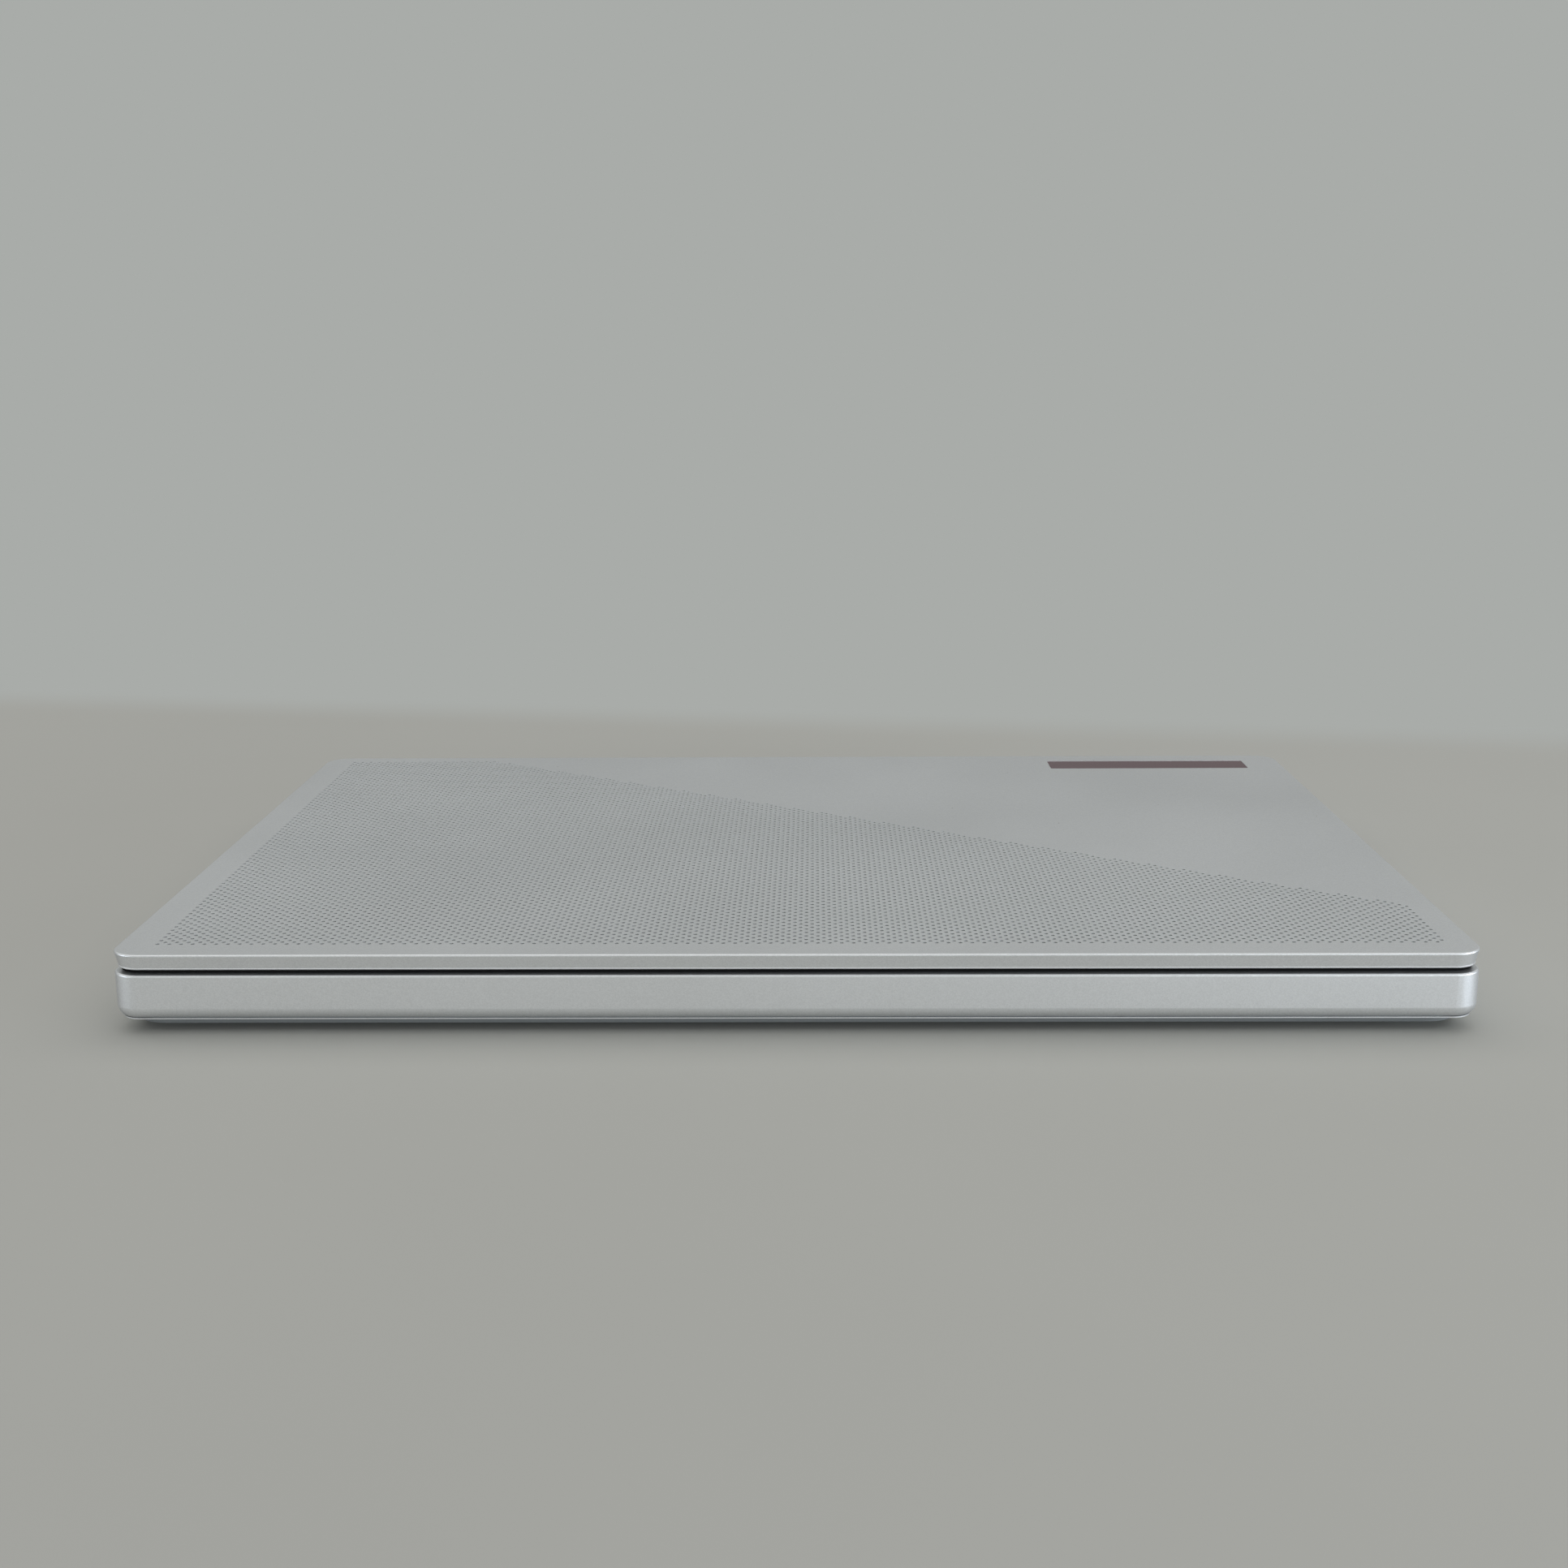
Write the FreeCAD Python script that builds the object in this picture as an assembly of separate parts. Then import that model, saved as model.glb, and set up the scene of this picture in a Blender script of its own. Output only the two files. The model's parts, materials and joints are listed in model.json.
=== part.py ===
"""Slim 14-inch laptop computer, lid closed.

Frame: X to the right, Y to the rear, Z up, origin on the table under the middle of the part.
Lengths are in millimetres.
"""
import FreeCAD, Part
import math
import os

V = FreeCAD.Vector

# Overall size
width = 324.0             # left to right
depth = 222.0             # front edge of the lid to its rear edge
foot_stand = 1.9          # feet, from the table to the bottom cover
cover_rise = 2.2          # bottom cover, from its underside to the seam
wall_rise = 10.75         # top case, from the seam to the deck
lid_gap = 1.15            # deck to the rim of the closed lid
lid_thickness = 3.9

# Shells
base_corner = 6.5         # plan radius of the base's corners
deck_edge = 0.5           # rounding of the deck's edge
belly_radius = 3.0        # rounding under the base's wall
belly_inset = 1.3         # how far that rounding has come in at the seam
wall = 1.5
deck_plate = 1.5
cover_plate = 1.2
cover_wall = 1.3
cover_step = 0.25         # the bottom cover stands back from the wall at the seam
cover_lean = 2.0          # and leans in this much more down to its underside
cover_corner = 10.0
lid_corner = 7.0
lid_edge = 0.6
lid_rim_edge = 0.2
lid_wall = 1.3
lid_ledge = 0.8           # step inside the lid that the bezel sits on
lid_plate = 0.8

# Hinge: the lid's rear edge drops behind the base
hinge_setback = 5.0       # hinge axis, forward of the lid's rear edge
hinge_drop = 3.0          # hinge axis, below the lid's rim
open_angle = 135.0
swing_clear = 0.5         # room between the base and the opening lid
lid_overhang = 3.0        # lid's rear edge, behind the base's rear wall
hinge_inset = 10.0        # outer end of the hinge notch, from the side of the base
sleeve_length = 12.0
knuckle_length = 10.2
sleeve_radius = 2.6
pin_radius = 1.5
pin_clear = 0.05
hinge_end_gap = 0.6       # between sleeve and knuckle, and to the ends of the notch
knuckle_gap = 0.6         # round the knuckle
lining = 1.2              # wall between the hinge notch and the inside
leaf = 1.2                # thickness of the bracket's leaf
leaf_length = 18.0
leaf_screw_first = 3.0    # screws, from the front end of the bracket's leaf
leaf_screw_pitch = 6.5
arm_leaf = 1.0
arm_leaf_length = 22.0
arm_screw_front = 4.0     # screws, from the front end of the arm's leaf
arm_screw_side = 6.0      # and from the ends of the notch
neck = 3.0                # thickness of the arm's neck

# Screws
cover_screw_radius = 0.85
cover_head_radius = 2.0
cover_head = 0.7
small_screw_radius = 0.6
small_head_radius = 1.6
small_head = 0.6
thread_clear = 0.05
post_radius = 2.6
boss_radius = 2.2
post_inset = 9.5          # front posts, from the base's outer faces
thread_cover = 0.8        # metal left over the end of a blind thread
side_post_inset = 27.5    # posts between battery and speakers, from the side
side_post_gap = 4.0       # and in front of the keyboard tray
rear_post_inset = 12.0
rear_post_setback = 16.0
middle_post_aside = 1.0   # rear middle post, behind the buttons' middle line

# Keyboard
keyboard_margin = 21.0    # keys to the side of the base
keyboard_setback = 30.0   # keys to the rear wall
units_across = 15.0
row_count = 5             # rows in front of the function keys
row_pitch = 18.2
function_pitch = 10.5
key_gap = 3.2             # between neighbouring caps
key_clear = 0.5           # round a cap in the frame
key_corner = 1.2
key_edge = 0.3
key_height = 2.1
key_travel = 1.2
key_rest = 0.15           # left under a cap when it is pressed
well_depth = 0.7          # key frame below the deck
frame_border = 1.0        # frame round the outer keys
frame_clear = 0.2
frame_flange = 0.6
flange_reach = 2.0
plate_thickness = 0.6
plate_rim = 1.0
dome_radius = 2.6
dome_top_radius = 1.6

# Touchpad
pad_width = 112.0
pad_front = 15.0          # touchpad to the base's front
pad_gap = 8.5             # touchpad to the keys
pad_clear = 0.4
pad_corner = 3.0
pad_recess = 0.1
pad_glass = 1.0
pad_board = 1.0
pad_room = 0.95           # under the touchpad's board
bracket_plate = 0.6
bracket_rim = 2.0
pivot_width = 1.0
pivot_clear = 0.15
click_switch = 5.0
click_switch_height = 0.3

# Buttons behind the keyboard
power_radius = 6.2
power_x = 84.0
button_setback = 19.0     # middle of the buttons to the rear wall
hot_key_width = 11.0
hot_key_depth = 7.0
hot_key_pitch = 14.5
hot_key_first_x = -86.0
hot_key_count = 4
button_clear = 0.3
button_travel = 0.4
button_flange = 0.5
button_flange_reach = 0.8
button_flange_gap = 0.15
button_board_gap = 0.1
button_board_thickness = 0.6
button_board_depth = 10.0
button_board_margin = 4.5
button_post_gap = 12.0    # posts of the button board, beside the outer buttons

# Boards and cooling
floor_gap = 0.9           # heat pipes above the bottom cover
pipe_height = 2.4
pipe_width = 8.0
pipe_bend = 20.0
pipe_rise = 1.5           # straight stretch between the two bends
pipe_gap = 2.0
pipe_turn_inset = 12.0    # pipe's turn, from the mainboard's narrow side
cold_plate = 0.6
cold_plate_side = 36.0
chip = 1.0
chip_side = 26.0
board = 1.0
chip_x = (-22.0, 22.0)
fan_inset = 28.0          # fan housing to the side of the base
fan_width = 58.0
fan_depth = 56.0
fan_setback = 22.0        # fan housing to the rear wall
fan_floor_gap = 1.1
fan_wall = 1.0
fan_plate = 0.8
fan_intake_radius = 15.0
fan_shaft_radius = 1.5
fan_shaft_clear = 0.05
fan_hub_radius = 10.0
fan_tip_gap = 3.0
fan_end_gap = 0.5
fan_blades = 13
fan_blade = 0.8
fin_gap = 1.0             # fan outlet to the fins
fin_depth = 11.0
fin_pitch = 2.0
fin = 0.5
fin_inset = 7.0
fin_leaf_gap = 0.4
board_gap = 2.0           # mainboard to the fans beside it
board_front = 13.5        # mainboard's front edge, under the keys
board_setback = 24.0
standoff_radius = 2.0
board_post_rear = 6.0     # mainboard's standoffs, from the keyboard tray's rear edge
board_post_side = 4.0     # from the mainboard's narrow sides
board_post_inset = 5.0    # from its wide sides
board_post_edge = 6.0     # and from the edges of its wide part
module_drop = 1.2         # module boards below the mainboard
module_board = 0.8
memory_width = 67.6
memory_depth = 30.0
storage_length = 80.0
storage_width = 22.0
storage_inset = 14.0      # from the mainboard's wide side
storage_gap = 6.2         # to the memory module beside it
radio_length = 30.0
radio_gap = 8.2           # to the memory module's other side
module_front = 4.0        # modules behind the mainboard's front edge
connector_depth = 4.0
module_chip = 0.9

# Battery and speakers
battery_inset = 34.0
battery_front = 13.0
battery_overlap = 8.5     # how far the battery reaches under the keys
battery_corner = 3.0
cell_groove = 1.0
cell_count = 4
tab_width = 12.0
tab_thickness = 1.4
tab_x = 70.0
speaker_inset = 6.0
speaker_width = 17.0
speaker_front = 21.0
speaker_gap = 1.5         # speakers to the keyboard tray
speaker_floor_gap = 1.75
speaker_corner = 3.0

# Side sockets
socket_room = 6.15        # deck's underside to the socket boards
socket_gap = 0.4          # sockets to the wall
socket_wall = 0.35
port_clear = 0.3
io_board = 1.0
io_inset = 25.0
io_edge_gap = 3.0
io_margin = 3.5
post_gap = 1.0            # socket board's posts to the pieces beside them
power_jack_setback = 30.0
power_jack_width = 7.5
power_jack_height = 6.0
power_jack_length = 12.0
power_jack_bore = 2.5
video_setback = 49.0
video_width = 15.0
video_height = 5.5
video_length = 12.0
serial_c_left_setback = 68.0
serial_c_right_setback = 80.0
serial_c_width = 9.0
serial_c_height = 3.3
serial_c_length = 8.0
serial_a_setbacks = (42.0, 62.0)
serial_a_width = 13.2
serial_a_height = 5.8
serial_a_length = 14.0
audio_setback = 82.0
audio_width = 6.0
audio_height = 5.0
audio_length = 14.0
audio_bore = 1.8
jack_back = 1.5           # closed end behind a jack's bore
nose_wall = 0.45          # round nose of a jack, in its hole in the side wall
nose_recess = 0.25        # end of the nose, inside the wall's outer face
lock_setback = 24.0
lock_length = 7.0
lock_height = 3.0
lock_z_below_deck = 4.5

# Vents and feet
vent_pitch = 4.0
vent_slot = 2.2
vent_first = 2.0          # along the slanted rear wall, from the hinge axis
vent_last = 8.0
intake_pitch = 4.5
intake_slot = 2.0
intake_length = 34.0
intake_count = 9
sound_slot = 1.6
sound_pitch = 3.6
sound_length = 9.0
sound_count = 7
foot_width = 7.0
front_foot_setback = 12.0
front_foot_near = 64.0
front_foot_length = 70.0
rear_foot_length = 236.0
rear_foot_setback = 22.0

# Lid contents
bezel = 0.6
bezel_recess = 0.1
cell = 0.5
cell_side = 5.0           # display cell to the lid's sides
cell_front = 6.0
cell_chin = 35.5          # display cell to the lid's rear edge
view_side = 1.8           # bezel over the cell's edge
view_front = 2.5
view_chin = 3.7
backlight_inset = 0.5
film = 0.2
film_gap = 0.3
film_margin = 1.5
field_left = 9.0          # field of small holes, from the lid's edges
field_right = 7.5
field_front = 8.4
field_rear = 5.2
field_right_depth = 32.0  # its short right side
field_rear_width = 48.3   # its short rear side
neck_clear = 0.4
gasket = 0.9
gasket_width = 1.4
gasket_inset = 2.4
magnet_length = 20.0
magnet_width = 3.0
magnet_gap = 0.4
magnet_x = 110.0
antenna_length = 40.0
antenna_width = 12.0
antenna = 0.3
antenna_x = (-40.0, 76.0)
antenna_rear = 8.0
badge_width = 65.6
badge_depth = 11.5
badge_right = 12.1        # badge to the lid's right side
badge_rear = 8.6          # badge to the lid's rear edge
badge_thickness = 0.3
badge_clear = 0.05
badge_recess = 0.05
badge_corner = 0.6

# Levels
z_cover = foot_stand
z_floor = z_cover + cover_plate
z_seam = z_cover + cover_rise
z_deck = z_seam + wall_rise
z_under = z_deck - deck_plate
z_lid = z_deck + lid_gap
z_top = z_lid + lid_thickness
z_lid_under = z_top - lid_plate
z_frame = z_deck - well_depth
z_flange = z_under - frame_flange
z_cap = z_deck - key_height
z_plate = z_cap - key_travel - key_rest
z_plate_under = z_plate - plate_thickness
z_pipe = z_floor + floor_gap
z_pipe_top = z_pipe + pipe_height
z_chip = z_pipe_top + cold_plate
z_board = z_chip + chip
z_board_top = z_board + board
z_module = z_board - module_drop
z_fan = z_floor + fan_floor_gap
z_io = z_under - socket_room
z_pad = z_deck - pad_recess
z_pad_board = z_pad - pad_glass
z_pad_under = z_pad_board - pad_board
z_bracket = z_pad_under - pad_room
z_bezel = z_lid + bezel_recess
z_cell = z_bezel + bezel
z_backlight = z_cell + cell
z_film = z_lid_under - film

# Places
half_w = width / 2
half_d = depth / 2
front = -half_d
rear = half_d - lid_overhang
hinge_y = half_d - hinge_setback
hinge_z = z_lid - hinge_drop
notch_radius = sleeve_radius + knuckle_gap
notch_out = half_w - hinge_inset
knuckle_out = notch_out - hinge_end_gap
knuckle_in = knuckle_out - knuckle_length
sleeve_out = knuckle_in - hinge_end_gap
sleeve_in = sleeve_out - sleeve_length
notch_in = sleeve_in - hinge_end_gap
z_leaf = hinge_z - sleeve_radius
leaf_front = hinge_y - leaf_length
leaf_screws = [(sleeve_in + sleeve_length / 2, leaf_front + leaf_screw_first + i * leaf_screw_pitch)
               for i in range(2)]
z_arm = z_cell + neck_clear / 4
arm_front = hinge_y - arm_leaf_length
arm_screws = [(x, arm_front + arm_screw_front)
              for x in (notch_in + arm_screw_side, notch_out - arm_screw_side)]
keys_x = half_w - keyboard_margin
keys_rear = rear - keyboard_setback
keys_front = keys_rear - function_pitch - row_count * row_pitch
key_unit = 2 * keys_x / units_across
tray_x = keys_x + frame_border + flange_reach
tray_front = keys_front - frame_border - flange_reach
tray_rear = keys_rear + frame_border + flange_reach
pad_y0 = front + pad_front
pad_y1 = keys_front - pad_gap
button_y = rear - button_setback
fan_out = half_w - fan_inset
fan_in = fan_out - fan_width
fan_x = fan_out - fan_width / 2
fan_rear = rear - fan_setback
fan_y = fan_rear - fan_depth / 2
fin_y0 = fan_rear + fin_gap
fin_y1 = fin_y0 + fin_depth
board_x = fan_in - board_gap
board_y0 = keys_front + board_front
board_step = fan_rear - fan_depth - board_gap
storage_x = fan_out - storage_inset - storage_length
memory_x = storage_x - storage_gap - memory_width
radio_x = memory_x - radio_gap - radio_length
board_y1 = rear - board_setback
chip_y = (fin_y0 + fin_y1) / 2 - 2 * pipe_bend - pipe_rise - (pipe_width + pipe_gap) / 2
io_x0 = half_w - io_inset
mouth_x = half_w - wall - socket_gap
cover_posts = [
    (0.0, front + post_inset),
    (0.0, button_y + middle_post_aside),
    (half_w - post_inset, front + post_inset),
    (half_w - side_post_inset, tray_front - side_post_gap),
    (half_w - rear_post_inset, rear - rear_post_setback),
]
board_posts = [
    (0.0, tray_rear - board_post_rear),
    (board_x - board_post_side, tray_rear - board_post_rear),
    (fan_out - board_post_inset, board_step - board_post_edge),
    (fan_out - board_post_inset, board_y0 + board_post_edge),
]


def both_sides(points):
    """The points and their mirror images across the middle plane."""
    return points + [(-x, y) for x, y in points if x]


def outline(x0, x1, y0, y1, z, corner):
    """Closed wire of a rectangle with round corners."""
    bulge = corner * (1 - math.sqrt(0.5))
    runs = [((x0 + corner, y0), (x1 - corner, y0)), ((x1, y0 + corner), (x1, y1 - corner)),
            ((x1 - corner, y1), (x0 + corner, y1)), ((x0, y1 - corner), (x0, y0 + corner))]
    middles = [(x1 - bulge, y0 + bulge), (x1 - bulge, y1 - bulge),
               (x0 + bulge, y1 - bulge), (x0 + bulge, y0 + bulge)]
    edges = []
    for i, (start, end) in enumerate(runs):
        following = runs[(i + 1) % 4][0]
        edges.append(Part.makeLine(V(*start, z), V(*end, z)))
        edges.append(Part.Arc(V(*end, z), V(*middles[i], z), V(*following, z)).toShape())
    return Part.Wire(edges)


def block(x0, x1, y0, y1, z0, z1):
    """Box between two corners."""
    return Part.makeBox(x1 - x0, y1 - y0, z1 - z0, V(x0, y0, z0))


def slab(x0, x1, y0, y1, z0, z1, corner):
    """Upright prism of a rectangle with round corners."""
    return Part.Face(outline(x0, x1, y0, y1, z0, corner)).extrude(V(0, 0, z1 - z0))


def post(x, y, z0, z1, radius):
    """Upright cylinder."""
    return Part.makeCylinder(radius, z1 - z0, V(x, y, z0))


def rod(x0, x1, y, z, radius):
    """Cylinder along X."""
    return Part.makeCylinder(radius, x1 - x0, V(x0, y, z), V(1, 0, 0))


def join(shapes):
    """One solid from shapes that meet."""
    return shapes[0].multiFuse(shapes[1:]).removeSplitter()


def carve(shape, tools):
    """The shape without the tools."""
    return shape.cut(tools).removeSplitter()


def mirrored(shape):
    """The shape on the other side of the middle plane."""
    return shape.mirror(V(0, 0, 0), V(1, 0, 0))


def level_edges(shape, z):
    """The edges that lie in one level plane."""
    return [e for e in shape.Edges if abs(e.BoundBox.ZMin - z) < 1e-4 and abs(e.BoundBox.ZMax - z) < 1e-4]


def opened(shape):
    """The shape turned about the hinge axis as the fully open lid is."""
    turned = shape.copy()
    turned.rotate(V(0, hinge_y, hinge_z), V(1, 0, 0), -open_angle)
    return turned


def behind_lid(inset):
    """All that lies past the face of the fully open lid, moved in by the inset."""
    level = hinge_z + hinge_drop - swing_clear - inset
    return opened(block(-width, width, hinge_y - depth, hinge_y + depth, level, level + depth))


def screw(x, y, z, shank, radius, head, head_radius):
    """Screw that points up, with the face of its head at z."""
    return join([post(x, y, z, z + head, head_radius), post(x, y, z + head, z + head + shank, radius)])


def hinge_cut(grow):
    """Notch for one hinge, on the right, grown by the wall round it."""
    radius = notch_radius + grow
    return [rod(notch_in - grow, notch_out + grow, hinge_y, hinge_z, radius),
            block(notch_in - grow, notch_out + grow, hinge_y - radius, half_d, hinge_z, z_lid)]


def base_hull(inset, z1):
    """Base's outer form moved in by the inset, with the belly's rounding."""
    drop = math.sqrt(belly_radius ** 2 - (belly_radius - belly_inset) ** 2)
    z0 = z_seam + drop - belly_radius + inset
    hull = slab(-half_w + inset, half_w - inset, front + inset, rear - inset, z0, z1, base_corner - inset)
    return hull.makeFillet(belly_radius - inset, level_edges(hull, z0))


def cover_outline(z, inset):
    """Plan outline of the bottom cover at one level, moved in by the inset."""
    lean = cover_lean * (z_seam - z) / cover_rise
    back = belly_inset + cover_step + lean + inset
    return outline(-half_w + back, half_w - back, front + back, rear - back, z, cover_corner - lean - inset)


def cover_form(z0, z1, inset):
    """Leaning form of the bottom cover between two levels."""
    return Part.makeLoft([cover_outline(z0, inset), cover_outline(z1, inset)], True, True)


def key_places():
    """Node, plan corners of each key cap."""
    gap = key_gap / 2
    rows = [
        ("function_keys", function_pitch, [1.0] * 15),
        ("number_keys", row_pitch, [1.0] * 13 + [2.0]),
        ("upper_letter_keys", row_pitch, [1.5] + [1.0] * 12 + [1.5]),
        ("home_letter_keys", row_pitch, [1.75] + [1.0] * 11 + [2.25]),
        ("lower_letter_keys", row_pitch, [2.25] + [1.0] * 10 + [2.75]),
        ("bottom_row_keys", row_pitch, [1.25, 1.0, 1.0, 1.25, 5.25, 1.25, 1.0]),
    ]
    places = []
    y1 = keys_rear
    for node, pitch, units in rows:
        x0 = -keys_x
        for unit in units:
            x1 = x0 + unit * key_unit
            name = "space_bar" if unit == max(units) and node == "bottom_row_keys" else node
            places.append((name, x0 + gap, x1 - gap, y1 - pitch + gap, y1 - gap))
            x0 = x1
        y1 -= pitch
    half = (row_pitch - 2 * key_gap) / 2
    for column, upper in ((0, False), (1, False), (1, True), (2, False)):
        x0 = keys_x - (3 - column) * key_unit
        y0 = y1 + gap + (half + key_gap if upper else 0.0)
        places.append(("arrow_keys", x0 + gap, x0 + key_unit - gap, y0, y0 + half))
    return places


def key_cap(x0, x1, y0, y1):
    """One key cap with a bevelled top."""
    cap = slab(x0, x1, y0, y1, z_cap, z_deck, key_corner)
    return cap.makeChamfer(key_edge, level_edges(cap, z_deck))


def ports():
    """Width, height and place along Y of the openings in the two side walls."""
    right = [(serial_a_width, serial_a_height, rear - s) for s in serial_a_setbacks]
    right.append((serial_c_width, serial_c_height, rear - serial_c_right_setback))
    left = [(video_width, video_height, rear - video_setback),
            (serial_c_width, serial_c_height, rear - serial_c_left_setback)]
    jacks = [(power_jack_bore, power_jack_height, rear - power_jack_setback),
             (audio_bore, audio_height, rear - audio_setback)]
    return right, left, jacks


def port_cuts():
    """Tools that open the side walls in front of the sockets and the lock slot."""
    right, left, jacks = ports()
    inner = half_w - 2 * wall
    outer = half_w + wall
    shrink = 2 * (socket_wall - port_clear)
    cuts = []
    for sign, side in ((1, right), (-1, left)):
        for w, h, y in side:
            x0, x1 = sorted((sign * inner, sign * outer))
            half = (w - shrink) / 2
            z0 = z_io + shrink / 2
            cuts.append(block(x0, x1, y - half, y + half, z0, z_io + h - shrink / 2))
    for radius, h, y in jacks:
        cuts.append(rod(-outer, -inner, y, z_io + h / 2, radius + nose_wall + port_clear))
    lock_y = rear - lock_setback
    lock_z = z_deck - lock_z_below_deck
    cuts.append(block(inner, outer, lock_y - lock_length / 2, lock_y + lock_length / 2,
                      lock_z - lock_height / 2, lock_z + lock_height / 2))
    return cuts


def vent_cuts():
    """Slots through the slanted rear wall behind the fins, on the right."""
    level = hinge_z + hinge_drop - swing_clear
    count = int((fan_width - 2 * fin_inset) / vent_pitch)
    first = fan_x - (count - 1) * vent_pitch / 2
    slots = []
    for i in range(count):
        x = first + i * vent_pitch
        slots.append(opened(block(x - vent_slot / 2, x + vent_slot / 2,
                                  hinge_y + vent_first, hinge_y + vent_last,
                                  level - 2 * wall, level + wall)))
    return slots


def button_openings(grow, z0, z1):
    """Prisms for the power button and the short-cut keys, grown all round."""
    shapes = [post(power_x, button_y, z0, z1, power_radius + grow)]
    for i in range(hot_key_count):
        x = hot_key_first_x + i * hot_key_pitch
        shapes.append(slab(x - hot_key_width / 2 - grow, x + hot_key_width / 2 + grow,
                           button_y - hot_key_depth / 2 - grow, button_y + hot_key_depth / 2 + grow,
                           z0, z1, key_corner + grow))
    return shapes


def io_posts():
    """Places of the posts that hold the two socket boards: right, then left."""
    aside = standoff_radius + post_gap
    x = tray_x + aside
    right = [(x, rear - serial_c_right_setback - serial_c_width / 2 - aside),
             (x, rear - serial_a_setbacks[0] + serial_a_width / 2 + aside)]
    left = [(-x, rear - audio_setback - audio_width / 2 - aside),
            (-x, rear - power_jack_setback + power_jack_width / 2 + aside)]
    return right, left


def tab_posts():
    """Places of the posts that hold the battery's tabs."""
    return both_sides([(tab_x, front + post_inset)])


def button_board_posts():
    """Places of the posts that hold the button board."""
    return [(hot_key_first_x - button_post_gap, button_y), (power_x + button_post_gap, button_y)]


def button_board_level():
    """Top face of the button board."""
    return z_under - button_flange_gap - button_flange - button_travel - button_board_gap


def top_case():
    """Upper shell of the base: deck, walls and the posts under the deck."""
    hull = base_hull(0.0, z_deck)
    hull = hull.makeFillet(deck_edge, level_edges(hull, z_deck))
    below = block(-width, width, -depth, depth, -depth, z_seam)
    hull = carve(hull, [below, behind_lid(0.0)])
    opening = cover_outline(z_seam, cover_wall)
    throat = Part.Face(opening).extrude(V(0, 0, belly_radius))
    lining_cuts = hinge_cut(lining)
    lining_cuts += [mirrored(s) for s in lining_cuts]
    hollow = join([base_hull(wall, z_under), throat]).cut([behind_lid(wall)] + lining_cuts)

    leaf_slot = block(sleeve_in - knuckle_gap / 2, sleeve_out + knuckle_gap / 2,
                      hinge_y - notch_radius - 2 * lining, hinge_y,
                      z_leaf - knuckle_gap / 2, z_leaf + leaf + knuckle_gap / 2)
    right_cuts = hinge_cut(0.0) + [leaf_slot] + vent_cuts()
    keyboard_x = keys_x + frame_border
    cuts = [hollow] + right_cuts + [mirrored(s) for s in right_cuts] + port_cuts()
    cuts.append(slab(-keyboard_x, keyboard_x, keys_front - frame_border, keys_rear + frame_border,
                     z_under - wall, z_deck + wall, key_corner + frame_border))
    cuts.append(slab(-pad_width / 2, pad_width / 2, pad_y0, pad_y1,
                     z_under - wall, z_deck + wall, pad_corner))
    cuts += button_openings(button_clear, z_under - wall, z_deck + wall)
    shell = carve(hull, cuts)

    blind = z_deck - thread_cover
    bosses = [(p, z_floor, post_radius, cover_screw_radius) for p in both_sides(cover_posts)]
    bosses += [(p, z_leaf + leaf, boss_radius, small_screw_radius) for p in both_sides(leaf_screws)]
    bosses += [(p, z_io, standoff_radius, small_screw_radius) for side in io_posts() for p in side]
    bosses += [(p, z_plate_under, boss_radius, small_screw_radius) for p in tab_posts()]
    bosses += [(p, button_board_level(), standoff_radius, small_screw_radius) for p in button_board_posts()]
    solid = join([shell] + [post(x, y, z, z_under + thread_clear, r) for (x, y), z, r, _ in bosses])
    return carve(solid, [post(x, y, z - wall, blind, bore + thread_clear) for (x, y), z, _, bore in bosses])


def bottom_cover():
    """Tray under the base, with air and sound slots and counterbored screw holes."""
    outer = carve(cover_form(z_cover, z_seam, 0.0), [behind_lid(0.0)])
    inner = cover_form(z_floor, z_seam + cover_rise, cover_wall).cut([behind_lid(cover_wall)])
    cuts = [inner]
    low = z_cover - cover_plate
    high = z_floor + cover_plate
    for x, y in both_sides(cover_posts):
        cuts.append(post(x, y, low, high, cover_screw_radius + thread_clear))
        cuts.append(post(x, y, low, z_cover + cover_head, cover_head_radius + thread_clear))
    slots = []
    for i in range(intake_count):
        x = fan_x + (i - (intake_count - 1) / 2) * intake_pitch
        slots.append(slab(x - intake_slot / 2, x + intake_slot / 2, fan_y - intake_length / 2,
                          fan_y + intake_length / 2, low, high, 0.49 * intake_slot))
    sound_x = half_w - speaker_inset - speaker_width / 2
    sound_y = (front + speaker_front + tray_front - speaker_gap) / 2
    for i in range(sound_count):
        y = sound_y + (i - (sound_count - 1) / 2) * sound_pitch
        slots.append(slab(sound_x - sound_length / 2, sound_x + sound_length / 2, y - sound_slot / 2,
                          y + sound_slot / 2, low, high, 0.49 * sound_slot))
    return carve(outer, cuts + slots + [mirrored(s) for s in slots])


def cover_screws():
    """Screws that hold the bottom cover to the posts of the top case."""
    shank = z_under - z_floor
    return [screw(x, y, z_cover, shank, cover_screw_radius, cover_head, cover_head_radius)
            for x, y in both_sides(cover_posts)]


def front_feet():
    """Two rubber strips under the front."""
    y0 = front + front_foot_setback
    x1 = front_foot_near + front_foot_length
    strip = slab(front_foot_near, x1, y0, y0 + foot_width, 0.0, z_cover, 0.45 * foot_width)
    return [strip, mirrored(strip)]


def rear_foot():
    """One long rubber strip under the rear."""
    y1 = rear - rear_foot_setback
    half = rear_foot_length / 2
    return [slab(-half, half, y1 - foot_width, y1, 0.0, z_cover, 0.45 * foot_width)]


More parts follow.
